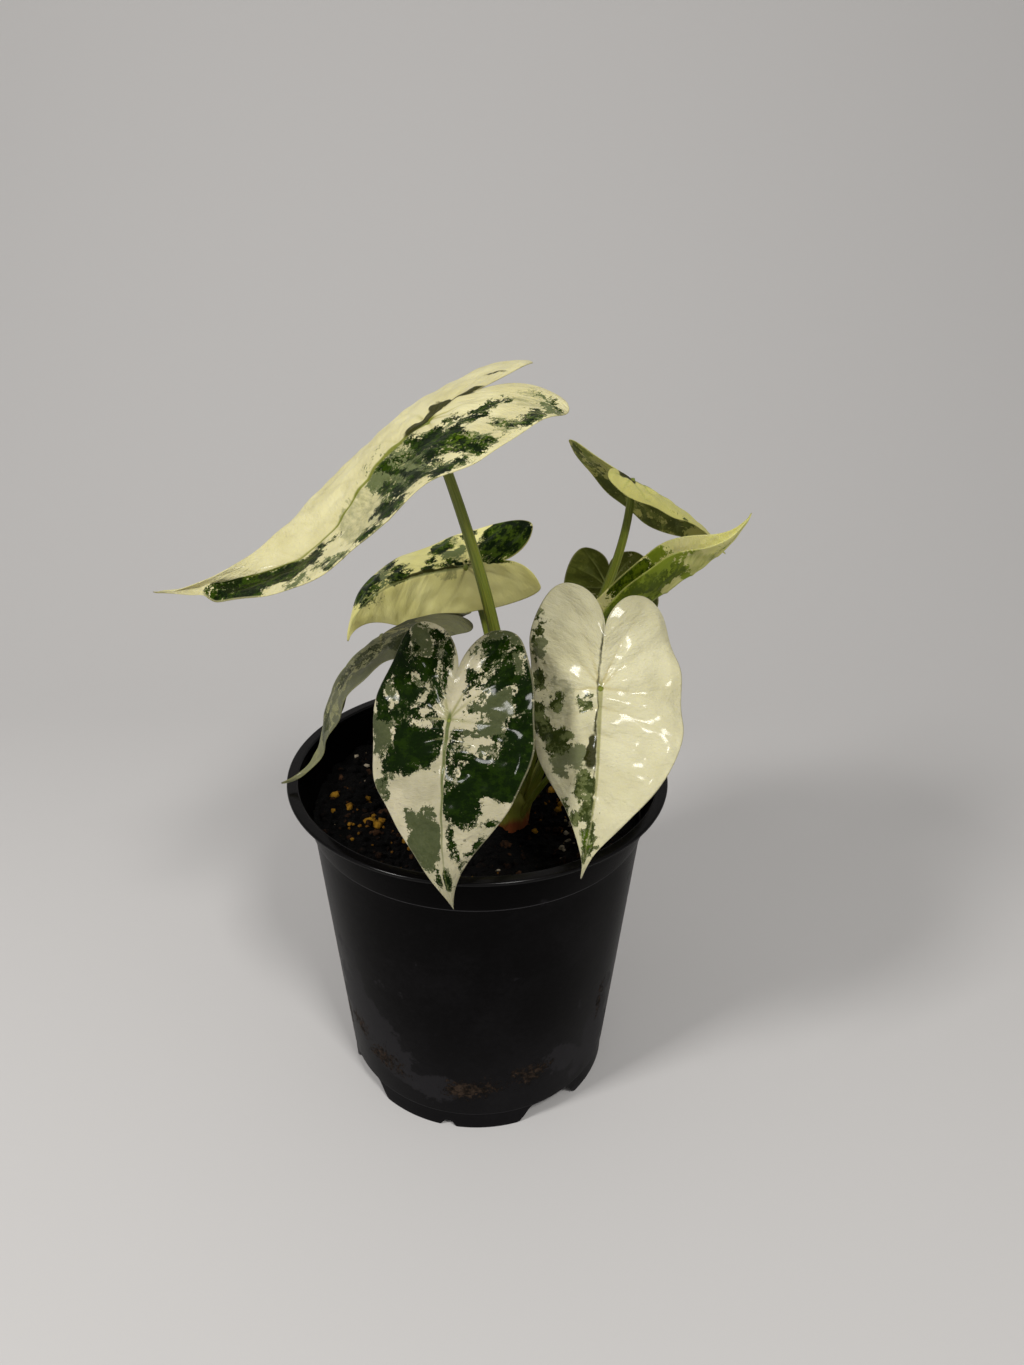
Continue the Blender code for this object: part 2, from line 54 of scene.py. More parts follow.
RIM_DEPTH = 0.0014
COLLAR_TOP_RADIUS = 0.0785
COLLAR_FOOT_RADIUS = 0.0738
COLLAR_FOOT_HEIGHT = 0.1340
STEP = 0.0010
SKIRT_RADIUS = 0.0622
SKIRT_HEIGHT = 0.0093
FOOT_RADIUS = 0.0616
WALL = 0.0013
FLOOR_HEIGHT = 0.0095
FLOOR_TOP = 0.0110
ARCH_ANGLES = (34.5, 124.5, 214.5, 304.5)
NICK_ANGLES = (79.5, 169.5, 259.5, 349.5)
FOOT_OPENINGS = ((ARCH_ANGLES, 31.0, 0.0082, 0.52), (NICK_ANGLES, 7.5, 0.0032, 0.25))
DRAIN_CIRCLE = 0.0440
DRAIN_RADIUS = 0.0055
CORNER_RADIUS = 0.0004
LONGEST_GAP = 0.0040
SHINE_HEIGHTS = (0.1500, 0.1520)
FILM_HEIGHTS = (0.080, 0.012)
MUD = ((216, 0.038, 13, 0.011), (231, 0.030, 17, 0.009), (204, 0.034, 5, 0.012), (272, 0.026, 19, 0.010),
       (294, 0.032, 15, 0.010), (328, 0.050, 4, 0.016), (10, 0.028, 12, 0.008), (62, 0.033, 14, 0.009),
       (112, 0.030, 14, 0.008), (155, 0.040, 12, 0.010))
DUST = ((219, 0.052, 15, 0.034), (236, 0.034, 16, 0.014), (252, 0.026, 12, 0.010),
        (308, 0.034, 12, 0.012), (330, 0.03, 16, 0.03), (30, 0.045, 22, 0.020), (85, 0.050, 16, 0.024),
        (140, 0.036, 24, 0.018))


def feed(tree, socket, value):
    """Link a socket to another, or set its value."""
    if isinstance(value, bpy.types.NodeSocket):
        tree.links.new(value, socket)
    else:
        socket.default_value = value


def put(tree, kind, inputs, output=0, **settings):
    """Add a node with its settings, feed its inputs, and give one output."""
    node = tree.nodes.new(kind)
    for name, value in settings.items():
        setattr(node, name, value)
    for name, value in inputs.items():
        feed(tree, node.inputs[name], value)
    return node.outputs[output]


def maths(tree, operation, a, b=0.0):
    return put(tree, "ShaderNodeMath", {0: a, 1: b}, operation=operation)


def times(tree, a, b):
    return maths(tree, "MULTIPLY", a, b)


def total(tree, *terms):
    """The sum of values, each times its share."""
    value = 0.0
    for term, share in terms:
        value = maths(tree, "ADD", value, times(tree, term, share))
    return value


def attribute(tree, name):
    return put(tree, "ShaderNodeAttribute", {}, output=2, attribute_name=name)


def object_place(tree):
    return put(tree, "ShaderNodeTexCoord", {}, output=3)


def fade(tree, value, low, high):
    """A smooth step from 0 at the low value to 1 at the high one."""
    return put(tree, "ShaderNodeMapRange", {"Value": value, "From Min": low, "From Max": high},
               interpolation_type="SMOOTHSTEP")


def mix(tree, factor, a, b):
    """Colour a, turning to colour b with the factor."""
    return put(tree, "ShaderNodeMix", {0: factor, 6: a, 7: b}, output=2, data_type="RGBA")


def noise(tree, place, scale, detail=4.0, roughness=0.55, offset=0.0):
    """Soft random values about 0, mostly between -1 and 1, at so many waves a metre."""
    shifted = put(tree, "ShaderNodeVectorMath", {0: place, 1: (offset, 0.7 * offset, 0.4 * offset)},
                  operation="ADD")
    value = put(tree, "ShaderNodeTexNoise", {"Vector": shifted, "Scale": scale, "Detail": detail,
                                             "Roughness": roughness})
    return put(tree, "ShaderNodeMapRange", {"Value": value, "From Min": 0.28, "From Max": 0.72,
                                            "To Min": -1.0, "To Max": 1.0}, clamp=False)


def rgb(red, green, blue):
    return (red, green, blue, 1.0)


def new_material(name, **values):
    """A material with a Principled shader, and its tree and that shader."""
    made = bpy.data.materials.new(name)
    made.use_nodes = True
    shader = made.node_tree.nodes["Principled BSDF"]
    for socket, value in values.items():
        shader.inputs[socket.replace("_", " ")].default_value = value
    return made, made.node_tree, shader


def wire(tree, shader, outputs):
    """Link values to the shader's sockets by name."""
    for name, value in outputs.items():
        tree.links.new(value, shader.inputs[name])


def bump(tree, shader, height, distance):
    """Let a height, in units of the distance, tilt the shader's normal."""
    wire(tree, shader, {"Normal": put(tree, "ShaderNodeBump", {"Height": height, "Distance": distance})})


def grid_quads(rows, columns, first=0):
    """The four corners of each cell in a grid of points, row by row."""
    corner = first + (np.arange(rows - 1)[:, None] * columns + np.arange(columns - 1)).ravel()
    return np.stack([corner, corner + 1, corner + columns + 1, corner + columns], -1)


def make_piece(name, grids, finish, values=None, maps=None, merge=0.000004):
    """A smooth mesh of one or more grids of points (rows, columns, 3).

    Values are named numbers and maps are named pairs, one for each point in
    the order of the grids. Points that meet are merged, and the faces of the
    closed shell are turned outwards.
    """
    points = np.concatenate([grid.reshape(-1, 3) for grid in grids])
    starts = np.cumsum([0] + [grid[..., 0].size for grid in grids])
    quads = np.concatenate([grid_quads(*grid.shape[:2], first) for grid, first in zip(grids, starts)])
    mesh = bpy.data.meshes.new(name)
    mesh.from_pydata(points, [], quads)
    for label, value in (values or {}).items():
        attribute = mesh.attributes.new(label, "FLOAT", "POINT")
        attribute.data.foreach_set("value", np.ascontiguousarray(value, np.float32).ravel())
    for label, pair in (maps or {}).items():
        layer = mesh.uv_layers.new(name=label)
        layer.data.foreach_set("uv", pair.reshape(-1, 2)[quads.ravel()].astype(np.float32).ravel())
    shell = bmesh.new()
    shell.from_mesh(mesh)
    bmesh.ops.remove_doubles(shell, verts=shell.verts, dist=merge)
    bmesh.ops.recalc_face_normals(shell, faces=shell.faces)
    shell.to_mesh(mesh)
    shell.free()
    mesh.shade_smooth()
    mesh.materials.append(finish)
    piece = bpy.data.objects.new(name, mesh)
    bpy.context.scene.collection.objects.link(piece)
    return piece


def rounded(path, radius):
    """A path with its corners rounded.

    Each corner becomes a curve that leaves the path at the radius before it
    and meets it again at the radius after it, leaning to the corner between.
    """
    path = np.array(path, float)
    corner = path[1:-1, None]
    before = path[:-2, None] - corner
    after = path[2:, None] - corner
    reach = [np.minimum(radius / np.linalg.norm(side, axis=-1, keepdims=True), 0.45)
             for side in (before, after)]
    share = np.linspace(0, 1, 6)[None, :, None]
    curve = corner + (1 - share)**2 * reach[0] * before + share**2 * reach[1] * after
    return np.concatenate([path[:1], curve.reshape(-1, 2), path[-1:]])


def filled(path, longest):
    """The same path with points added evenly wherever two of them are further apart than the longest gap."""
    counts = np.ceil(np.linalg.norm(np.diff(path, axis=0), axis=-1) / longest).astype(int)
    parts = [np.linspace(start, end, count, endpoint=False)
             for start, end, count in zip(path[:-1], path[1:], np.maximum(counts, 1))]
    return np.concatenate([*parts, path[-1:]])


def turned(path, angles):
    """A path of (radius, height) turned about Z: a row a point, a column an angle."""
    radius, height = np.asarray(path).T[:, :, None]
    turn = np.radians(angles)
    return np.stack([radius * np.cos(turn), radius * np.sin(turn), height + 0 * turn], -1)


def wall_radius(height):
    """The pot's inner radius below the collar, on a straight taper."""
    share = (height - SKIRT_HEIGHT) / (COLLAR_FOOT_HEIGHT - STEP - SKIRT_HEIGHT)
    return SKIRT_RADIUS + share * (COLLAR_FOOT_RADIUS - STEP - SKIRT_RADIUS) - WALL


def foot_lift(angles):
    """How far the foot's edge is raised: a flat arch with sloping ends at each opening."""
    lift = 0 * angles
    for middles, width, height, top_share in FOOT_OPENINGS:
        for middle in middles:
            away = np.abs((angles - middle + 180) % 360 - 180) / (width / 2)
            rise = np.clip((1 - away) / (1 - top_share), 0, 1)
            lift = np.maximum(lift, height * rise**2 * (3 - 2 * rise))
    return lift


def floor_quarter(middle, angles):
    """A quarter of the floor round its drain hole, both faces and the hole's wall.

    Its outline runs out from the axis, round the wall and back to the axis.
    Each row is blended between the hole's edge and that outline.
    """
    edges = (middle - 45, middle + 45)
    arc = angles[(angles >= edges[0] - 0.01) & (angles <= edges[1] + 0.01)]
    spoke = np.linspace(0, 1, 12)
    reach = np.concatenate([spoke[:-1], 0 * arc + 1, spoke[-2::-1]])
    turn = np.radians(np.concatenate([0 * spoke[:-1] + edges[0], arc, 0 * spoke[:-1] + edges[1]]))
    ray = np.stack([np.cos(turn), np.sin(turn)], -1) * reach[:, None]
    hole = DRAIN_CIRCLE * np.array([np.cos(np.radians(middle)), np.sin(np.radians(middle))])
    rows = []
    shares = np.linspace(0, 1, 5)
    for height, radius, order in ((FLOOR_HEIGHT, FOOT_RADIUS - WALL, shares[::-1]),
                                  (FLOOR_TOP, wall_radius(FLOOR_TOP), shares)):
        outline = radius * ray
        way = outline - hole
        rim = hole + DRAIN_RADIUS * way / np.linalg.norm(way, axis=-1, keepdims=True)
        flat = rim + order[:, None, None] * (outline - rim)
        rows.append(np.concatenate([flat, 0 * flat[..., :1] + height], -1))
    return np.concatenate(rows)


rim_foot = POT_HEIGHT - RIM_DEPTH
body_top = COLLAR_FOOT_HEIGHT - STEP
pot_outline = [
    (wall_radius(FLOOR_TOP), FLOOR_TOP),
    (wall_radius(body_top), body_top),
    (COLLAR_FOOT_RADIUS - WALL, COLLAR_FOOT_HEIGHT + STEP),
    (COLLAR_TOP_RADIUS - WALL, rim_foot - STEP),
    (RIM_RADIUS - RIM_WIDTH, POT_HEIGHT - RIM_DEPTH / 2),
    (RIM_RADIUS - RIM_WIDTH + STEP / 2, POT_HEIGHT),
    (RIM_RADIUS - RIM_DEPTH / 3, POT_HEIGHT),
    (RIM_RADIUS, POT_HEIGHT - RIM_DEPTH / 3),
    (RIM_RADIUS, rim_foot),
    (COLLAR_TOP_RADIUS, rim_foot - STEP / 2),
    (COLLAR_FOOT_RADIUS, COLLAR_FOOT_HEIGHT),
    (COLLAR_FOOT_RADIUS - STEP, body_top),
    (SKIRT_RADIUS, SKIRT_HEIGHT),
    (FOOT_RADIUS, SKIRT_HEIGHT - STEP / 2),
    (FOOT_RADIUS, 0.0),
    (FOOT_RADIUS - WALL, 0.0),
    (FOOT_RADIUS - WALL, FLOOR_HEIGHT),
]
opening_ends = [middle + side * share * width / 2
                for middles, width, _, top_share in FOOT_OPENINGS for middle in middles
                for side in (-1, 1) for share in np.linspace(top_share, 1, 7)]
first_angle = NICK_ANGLES[3] - 360
pot_angles = np.concatenate([np.linspace(first_angle, first_angle + 360, 361),
                             (np.array(opening_ends) - first_angle) % 360 + first_angle])
pot_angles = np.unique(np.round(pot_angles, 3))
pot_wall = turned(filled(rounded(pot_outline, CORNER_RADIUS), LONGEST_GAP), pot_angles)
near_foot = np.clip(1 - pot_wall[..., 2] / SKIRT_HEIGHT, 0, 1)
pot_wall[..., 2] += foot_lift(pot_angles) * near_foot
pot_floor = [floor_quarter(middle, pot_angles) for middle in ARCH_ANGLES]


def smears(points, spots):
    """How thick dirt lies at each point: the thickest of soft spots, each at an angle and a height."""
    angle = np.degrees(np.arctan2(points[:, 1], points[:, 0]))
    depth = 0 * angle
    for middle, height, wide, tall in spots:
        away = ((angle - middle + 180) % 360 - 180) / wide
        depth = np.maximum(depth, np.exp(-away**2 - ((points[:, 2] - height) / tall)**2))
    return depth


def pot_finish():
    """Satin black plastic: dust in blotches, a paler painted highlight along each step's edge, and crumbs of
    dried mud.
    """
    made, tree, shader = new_material("pot_black_plastic", Specular_IOR_Level=0.012, Coat_Roughness=0.16)
    place = object_place(tree)
    height = put(tree, "ShaderNodeSeparateXYZ", {0: place}, output=2)
    below_collar = fade(tree, height, COLLAR_FOOT_HEIGHT, body_top)
    on_rim = fade(tree, height, *SHINE_HEIGHTS)
    low_down = fade(tree, height, *FILM_HEIGHTS)
    cloud = noise(tree, place, 22, 5, 0.6)
    grain = noise(tree, place, 420, 6, 0.7, offset=3.0)
    blotch = noise(tree, place, 70, 6, 0.65, offset=7.0)
    crumb = noise(tree, place, 620, 6, 0.8, offset=11.0)
    film = times(tree, fade(tree, total(tree, (cloud, 1.0), (grain, 0.5)), -0.6, 1.6), below_collar)
    blotches = fade(tree, total(tree, (attribute(tree, "dust"), 1.0), (blotch, 0.55)), 0.42, 0.58)
    dust = total(tree, (film, 0.22), (low_down, 0.20), (blotches, 0.50))
    colour = mix(tree, dust, rgb(0.0013, 0.0011, 0.0012), rgb(0.0200, 0.0190, 0.0210))
    # Painted highlight: a paler line along the edge of each step, where light catches it.
    for edge, width, highlight_strength in ((COLLAR_FOOT_HEIGHT - 0.0002, 0.0007, 0.8), (SKIRT_HEIGHT, 0.0005, 0.35)):
        near = maths(tree, "ABSOLUTE", maths(tree, "SUBTRACT", height, edge))
        step_highlight = times(tree, fade(tree, near, width, 0.2 * width), highlight_strength)
        colour = mix(tree, step_highlight, colour, rgb(0.060, 0.058, 0.062))
    mud = fade(tree, total(tree, (attribute(tree, "mud"), 1.0), (crumb, 0.60), (blotch, 0.45)), 0.76, 0.88)
    mud_tone = mix(tree, fade(tree, grain, -0.6, 0.8), rgb(0.004, 0.003, 0.002), rgb(0.044, 0.029, 0.020))
    wire(tree, shader, {"Base Color": mix(tree, mud, colour, mud_tone),
                        "Roughness": total(tree, (dust, 0.22), (mud, 0.35), (1.0, 0.30)),
                        "Coat Weight": total(tree, (on_rim, 0.30), (below_collar, 0.05))})
    bump(tree, shader, total(tree, (mud, 5.0), (grain, 0.12)), 0.00012)
    return made


pot_grids = [pot_wall, *pot_floor]
pot_points = np.concatenate([grid.reshape(-1, 3) for grid in pot_grids])
pot = make_piece("nursery_pot", pot_grids, pot_finish(), merge=0.00001,
                 values={"mud": smears(pot_points, MUD), "dust": smears(pot_points, DUST)})
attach(pot, "root")
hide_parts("pot")


# The soil
# Dark peat and fine bark, poured in and watered: its top is heaped to the
# left and back, crumbly, and it climbs the collar's wall in places.
SOIL_LEVEL = 0.1318
SOIL_HEAP = 0.0040
SOIL_BACK_SHARE = 0.35
SOIL_BASE = FLOOR_TOP + 0.0003
SOIL_EDGE_GAP = 0.0001
SOIL_WAVES = ((0.0170, 0.0026), (0.0070, 0.0021), (0.0030, 0.0013), (0.0014, 0.0007))
NET_SIZE = 128


def random_net(x, y, cell, seed):
    """Random heights from 0 to 1 on a square net, blended smoothly between its points."""
    net = np.random.default_rng(seed).random((NET_SIZE, NET_SIZE))
    column, across = np.divmod(x / cell + NET_SIZE / 2, 1)
    row, down = np.divmod(y / cell + NET_SIZE / 2, 1)
    across, down = (part * part * (3 - 2 * part) for part in (across, down))
    column, row = (part.astype(int) % NET_SIZE for part in (column, row))
    beside, below = (column + 1) % NET_SIZE, (row + 1) % NET_SIZE
    upper = net[row, column] * (1 - across) + net[row, beside] * across
    lower = net[below, column] * (1 - across) + net[below, beside] * across
    return upper * (1 - down) + lower * down


def soil_height(x, y):
    """The soil's top: a tilted heap, and humps of four sizes that stand up as round crumbs."""
    level = SOIL_LEVEL + SOIL_HEAP * (SOIL_BACK_SHARE * y - x) / COLLAR_FOOT_RADIUS
    for seed, (cell, height) in enumerate(SOIL_WAVES):
        level = level + height * (0.5 - np.abs(2 * random_net(x, y, cell, seed) - 1))
    return level


def inner_radius(height):
    """The pot's inner radius at a height where the soil may touch it."""
    return np.interp(height, (body_top, COLLAR_FOOT_HEIGHT + STEP, rim_foot - STEP),
                     (wall_radius(body_top), COLLAR_FOOT_RADIUS - WALL, COLLAR_TOP_RADIUS - WALL))


def make_soil():
    """The soil's solid: rings of its top out to the wall, then down the wall and in again."""
    turn = np.radians(np.linspace(0, 360, 441))
    beside = inner_radius(SOIL_LEVEL) * np.stack([np.cos(turn), np.sin(turn)])
    edge = inner_radius(soil_height(*beside)) - SOIL_EDGE_GAP
    share = np.linspace(0, 1, 125)[:, None]
    x, y = share * edge * np.cos(turn), share * edge * np.sin(turn)
    top = np.stack([x, y, soil_height(x, y)], -1)
    side = turned([(wall_radius(body_top) - SOIL_EDGE_GAP, body_top - 0.006),
                   (wall_radius(SOIL_BASE) - SOIL_EDGE_GAP, SOIL_BASE),
                   (0.0, SOIL_BASE)], np.degrees(turn))
    return np.concatenate([top, side])


def soil_finish(name, dark, light, low=0.1):
    """Damp earth: each material mixes its own dark and light tone by grain, and is rough."""
    made, tree, shader = new_material(name, Specular_IOR_Level=0.10)
    place = object_place(tree)
    grain = noise(tree, place, 900, 5, 0.7)
    patch = noise(tree, place, 110, 4, 0.6, offset=4.0)
    value = total(tree, (grain, 0.5), (patch, 0.5), (attribute(tree, "tone"), 1.0))
    wire(tree, shader, {"Base Color": mix(tree, fade(tree, value, low, 1.6), dark, light),
                        "Roughness": total(tree, (grain, 0.12), (1.0, 0.75))})
    bump(tree, shader, grain, 0.0003)
    return made


soil_top = make_soil()
soil = make_piece("potting_mix", [soil_top], soil_finish("soil_peat", rgb(0.0004, 0.0003, 0.0002),
                                                         rgb(0.0085, 0.0040, 0.0019)),
                  values={"tone": np.zeros(soil_top[..., 0].size)})
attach(soil, "root")
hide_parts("soil")


# Crumbs of the soil mix
# Loose lumps lie on the soil: peat and bark, yellow-orange wood chips, and a
# few white and cream grains, each pressed in by about a third.
LUMP_SIDES = 7
LUMP_RINGS = 4
CHIP_SPOTS = ((-0.046, -0.020, 0.007, 26), (-0.030, -0.026, 0.005, 18), (0.034, -0.004, 0.008, 12),
              (0.029, 0.020, 0.010, 10), (-0.055, -0.004, 0.006, 10), (0.0, 0.0, 0.045, 34))
CRUMB_COUNT = 1500
CRUMB_REACH = 0.069
GRAIN_SPOTS = ((0.043, -0.020, 0.006, 22), (-0.060, 0.032, 0.008, 10), (0.0, 0.0, 0.045, 26))


def lumps(places, sizes, seed):
    """Uneven pebbles: each is a ball on a small grid, stretched and pushed in and out at random."""
    draw = np.random.default_rng(seed)
    count = len(places)
    tilt = np.linspace(0, np.pi, LUMP_RINGS + 1)[:, None]
    turn = np.linspace(0, 2 * np.pi, LUMP_SIDES + 1)[None]
    ball = np.stack([np.sin(tilt) * np.cos(turn), np.sin(tilt) * np.sin(turn), np.cos(tilt) + 0 * turn], -1)
    swell = draw.uniform(0.65, 1.2, (count, LUMP_RINGS + 1, LUMP_SIDES))
    swell[:, [0, -1]] = swell[:, [0, -1], :1]
    swell = np.concatenate([swell, swell[:, :, :1]], 2)[..., None]
    stretch = draw.uniform(0.6, 1.25, (count, 1, 1, 3)) * np.array([1, 1, 0.75])
    shape = ball * swell * stretch * np.asarray(sizes)[:, None, None, None]
    spin = draw.uniform(0, 2 * np.pi, (count, 1, 1))
    x, y, z = np.moveaxis(shape, -1, 0)
    shape = np.stack([x * np.cos(spin) - y * np.sin(spin), x * np.sin(spin) + y * np.cos(spin), z], -1)
    return shape + np.asarray(places)[:, None, None]


def on_soil(flat, sizes, sink):
    """Places on the soil's top, each raised by its size less the share that is pressed in."""
    x, y = np.asarray(flat).T
    return np.stack([x, y, soil_height(x, y) + np.asarray(sizes) * (0.5 - sink)], -1)


def make_crumbs(name, flat, sizes, finish, seed, sink=0.35):
    """One piece of many lumps on the soil, with a random tone for each."""
    grids = lumps(on_soil(flat, sizes, sink), sizes, seed)
    tones = np.random.default_rng(seed + 1).uniform(-0.8, 0.8, len(grids))
    tone = np.repeat(tones, grids[0][..., 0].size)
    piece = make_piece(name, list(grids), finish, values={"tone": tone}, merge=0.000001)
    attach(piece, "root")


def scattered(count, seed):
    """Random places spread evenly over the soil's disc."""
    draw = np.random.default_rng(seed)
    radius = CRUMB_REACH * np.sqrt(draw.random(count))
    turn = draw.uniform(0, 2 * np.pi, count)
    return np.stack([radius * np.cos(turn), radius * np.sin(turn)], -1)


def clustered(spots, seed):
    """Random places round the middles of some spots, each with its spread and its count."""
    draw = np.random.default_rng(seed)
    places = np.concatenate([draw.normal((x, y), spread, (count, 2)) for x, y, spread, count in spots])
    return places[np.linalg.norm(places, axis=1) < CRUMB_REACH]


def uneven(count, seed, least, spread, power):
    """Random sizes, most of them small: the least size and a power of an even draw."""
    return least + spread * np.random.default_rng(seed).random(count)**power


chips = clustered(CHIP_SPOTS, 30)
grains = clustered(GRAIN_SPOTS, 40)
make_crumbs("soil_crumbs", scattered(CRUMB_COUNT, 20), uneven(CRUMB_COUNT, 21, 0.0005, 0.0021, 2.6),
            soil_finish("soil_crumb", rgb(0.0008, 0.0005, 0.0003), rgb(0.085, 0.038, 0.016)), 22)
make_crumbs("soil_wood_chips", chips, uneven(len(chips), 32, 0.0005, 0.0021, 2.2),
            soil_finish("soil_wood", rgb(0.09, 0.032, 0.004), rgb(0.42, 0.22, 0.018), -0.9), 31, sink=0.25)
make_crumbs("soil_pale_grains", grains, uneven(len(grains), 42, 0.0004, 0.0014, 1.8),
            soil_finish("soil_pale", rgb(0.16, 0.12, 0.07), rgb(0.55, 0.48, 0.36), -0.9), 41, sink=0.25)


# The stem and its petioles
# A short stub with the petioles' sheaths wrapped round it, fleshy and green,
# rooted in the soil. Each petiole is a ribbed stalk that thins upwards and
# runs into the underside of its blade.
STEM_CENTRE = (0.0152, -0.0100)
STEM_OUTLINE = (
    (0.0, 0.1120), (0.0043, 0.1140), (0.0072, 0.1248), (0.0072, 0.1323), (0.0062, 0.1375),
    (0.0056, 0.1420), (0.0041, 0.1456), (0.0, 0.1470),
)
PETIOLE_RIBS = 11
PETIOLE_TAPER = 0.8
SHEATH_SHARE = 0.09
SHEATH_SWELL = 0.85
PETIOLES = {
    "leaf_tall_left": dict(
        foot=(0.013, -0.009, 0.128), leans=((0.019, -0.011, 0.198), (0.0006, -0.0240, 0.2610)),
        radii=(0.0032, 0.0017)),
    "leaf_middle_left": dict(
        foot=(0.0145, -0.0085, 0.128), leans=((0.011, 0.019, 0.163), (0.005, 0.060, 0.191)),
        radii=(0.0021, 0.0013)),
    "leaf_front_dark": dict(
        foot=(0.0130, -0.0120, 0.128), leans=((0.008, -0.022, 0.165), (-0.002, -0.044, 0.190)),
        radii=(0.0021, 0.0013)),
    "leaf_front_pale": dict(
        foot=(0.017, -0.012, 0.132), leans=((0.025, -0.016, 0.156), (0.044, -0.036, 0.185)),
        radii=(0.0013, 0.0012)),
    "leaf_low_left": dict(
        foot=(0.011, -0.009, 0.128), leans=((0.002, -0.008, 0.165), (-0.026, -0.004, 0.200)),
        radii=(0.0018, 0.0011)),
    "leaf_high_right": dict(
        foot=(0.017, -0.008, 0.128), leans=((0.018, 0.002, 0.176), (0.064, 0.019, 0.228)),
        radii=(0.0031, 0.0015)),
    "leaf_new_right": dict(
        foot=(0.018, -0.009, 0.128), leans=((0.026, -0.008, 0.160), (0.046, -0.007, 0.200)),
        radii=(0.0021, 0.0013)),
    "leaf_back": dict(
        foot=(0.017, -0.007, 0.128), leans=((0.028, 0.008, 0.158), (0.049, 0.034, 0.190)),
        radii=(0.0017, 0.0011)),
}


def bezier(a, b, c, d, share):
    """A cubic curve from point a to d, leaning towards b and c, at an array of shares."""
    share = np.asarray(share)[:, None]
    rest = 1 - share
    a, b, c, d = (np.array(point) for point in (a, b, c, d))
    return rest**3 * a + 3 * rest**2 * share * b + 3 * rest * share**2 * c + share**3 * d


def unit(vectors):
    return vectors / np.maximum(np.linalg.norm(vectors, axis=-1, keepdims=True), 1e-12)


def tube(line, radii, around, ribs, depth):
    """A ribbed tube: circles square to the line, whose radius rises and falls round them.

    The circles start at a direction that stays level and square to the way
    from the line's first point to its last. Both ends close in a point.
    """
    ahead = unit(np.gradient(line, axis=0))
    span = line[-1] - line[0]
    level = np.array([-span[1], span[0], 0.0])
    side = unit(level - ahead * (ahead @ level)[:, None])
    third = np.cross(ahead, side)
    turn = np.linspace(0, 2 * np.pi, around)
    wave = 1 + depth * np.cos(ribs * turn)
    ring = side[:, None] * np.cos(turn)[None, :, None] + third[:, None] * np.sin(turn)[None, :, None]
    return line[:, None] + ring * (radii[:, None] * wave)[..., None]


def stalk(name, junction):
    """One petiole from its foot in the stem to just inside the blade, with its sheath."""
    petiole = PETIOLES[name]
    share = np.concatenate([[0, 0], np.linspace(0, 1, 90), [1]])
    line = bezier(petiole["foot"], *petiole["leans"], junction, share)
    foot, top = petiole["radii"]
    radii = foot + (top - foot) * share**PETIOLE_TAPER
    radii = radii * (1 + SHEATH_SWELL * np.exp(-(share / SHEATH_SHARE)**2))
    radii[[0, -1]] = 0
    radii[-2] *= 0.8
    grid = tube(line, radii, 4 * PETIOLE_RIBS + 1, PETIOLE_RIBS, 0.045)
    length = np.linalg.norm(np.diff(line, axis=0), axis=-1).sum()
    around = np.broadcast_to(np.linspace(0, 1, grid.shape[1]), grid.shape[:2])
    along_it = np.broadcast_to((share * length * 10)[:, None], grid.shape[:2])
    return grid, np.stack([around, along_it], -1)


def stalk_finish():
    """Green skin with long paler ribs, yellower below, red-brown where it leaves the soil."""
    made, tree, shader = new_material("stalk_skin", IOR=1.42, Subsurface_Weight=0.12,
                                      Subsurface_Scale=0.002)
    place = object_place(tree)
    skin = put(tree, "ShaderNodeUVMap", {}, uv_map="skin")
    stretched = put(tree, "ShaderNodeMapping", {"Vector": skin, "Scale": (26.0, 3.5, 1.0)})
    height = put(tree, "ShaderNodeSeparateXYZ", {0: place}, output=2)
    streak = noise(tree, stretched, 1.0, 4, 0.6)
    blotch = noise(tree, place, 120, 3, 0.5)
    colour = mix(tree, fade(tree, streak, -0.8, 0.8), rgb(0.105, 0.140, 0.008), rgb(0.21, 0.235, 0.022))
    low = total(tree, (height, 1.0), (blotch, 0.003))
    colour = mix(tree, fade(tree, low, 0.158, 0.139), colour, rgb(0.27, 0.28, 0.040))
    colour = mix(tree, fade(tree, low, 0.1395, 0.1335), colour, rgb(0.21, 0.060, 0.018))
    wire(tree, shader, {"Base Color": colour, "Roughness": total(tree, (streak, 0.05), (1.0, 0.40))})
    bump(tree, shader, streak, 0.0001)
    return made


# The blades
# Thin leathery arrow-shaped leaves. Each is one formula with its own values:
# it is laid out flat, with u along the midrib and v across it, then carried
# on a midrib that bends in space, while its two halves fold and curl.
BLADE_THICKNESS = 0.00050
EDGE_WIDTH = 0.0006
RIB_SPACING = 0.9
ROOT_SPACING = 1.25
MIDRIB_POINTS = 401
WIDEST_SHARE = 0.42
LOBE_LEAN = 0.62
SHOULDER_LEAN = 0.55
FLANK_LEAN = 0.42
TIP_LEAN = 0.36
TIP_WIDTH = 0.10
TAIL_WIDTH = 0.0012
BLUNT_END = 0.006
SINUS_LEAN = 0.25
SINUS_MOUTH = 0.02
SINUS_FADE = 0.6

# The veins of one half: from a share of the midrib's length to a share of the
# margin, and how strong each is. The first two run back into the lobe.
VEINS = ((0.0, 0.035, 1.0), (0.0, 0.21, 0.8), (0.0, 0.385, 0.9), (0.10, 0.50, 0.8),
         (0.24, 0.60, 0.8), (0.40, 0.69, 0.7), (0.56, 0.78, 0.6), (0.72, 0.87, 0.5))
VEIN_STEPS = 14
VEIN_WIDTH = 0.0006
QUILT_WIDTH = 0.0034
QUILT_HEIGHT = 0.0006
NEAR_JUNCTION = 0.011
MARGIN_FADE = 0.004
WAVE_LENGTH = 0.022
WAVE_HEIGHT = 0.0010
RIPPLE_LENGTH = 0.009
RIPPLE_HEIGHT = 0.00022
VEIN_GROOVE = 0.00015
VEIN_RIDGE = 0.00035
MIDRIB_GROOVE = 0.0004
MIDRIB_FADE = 0.006
BLADE_ROWS = 185
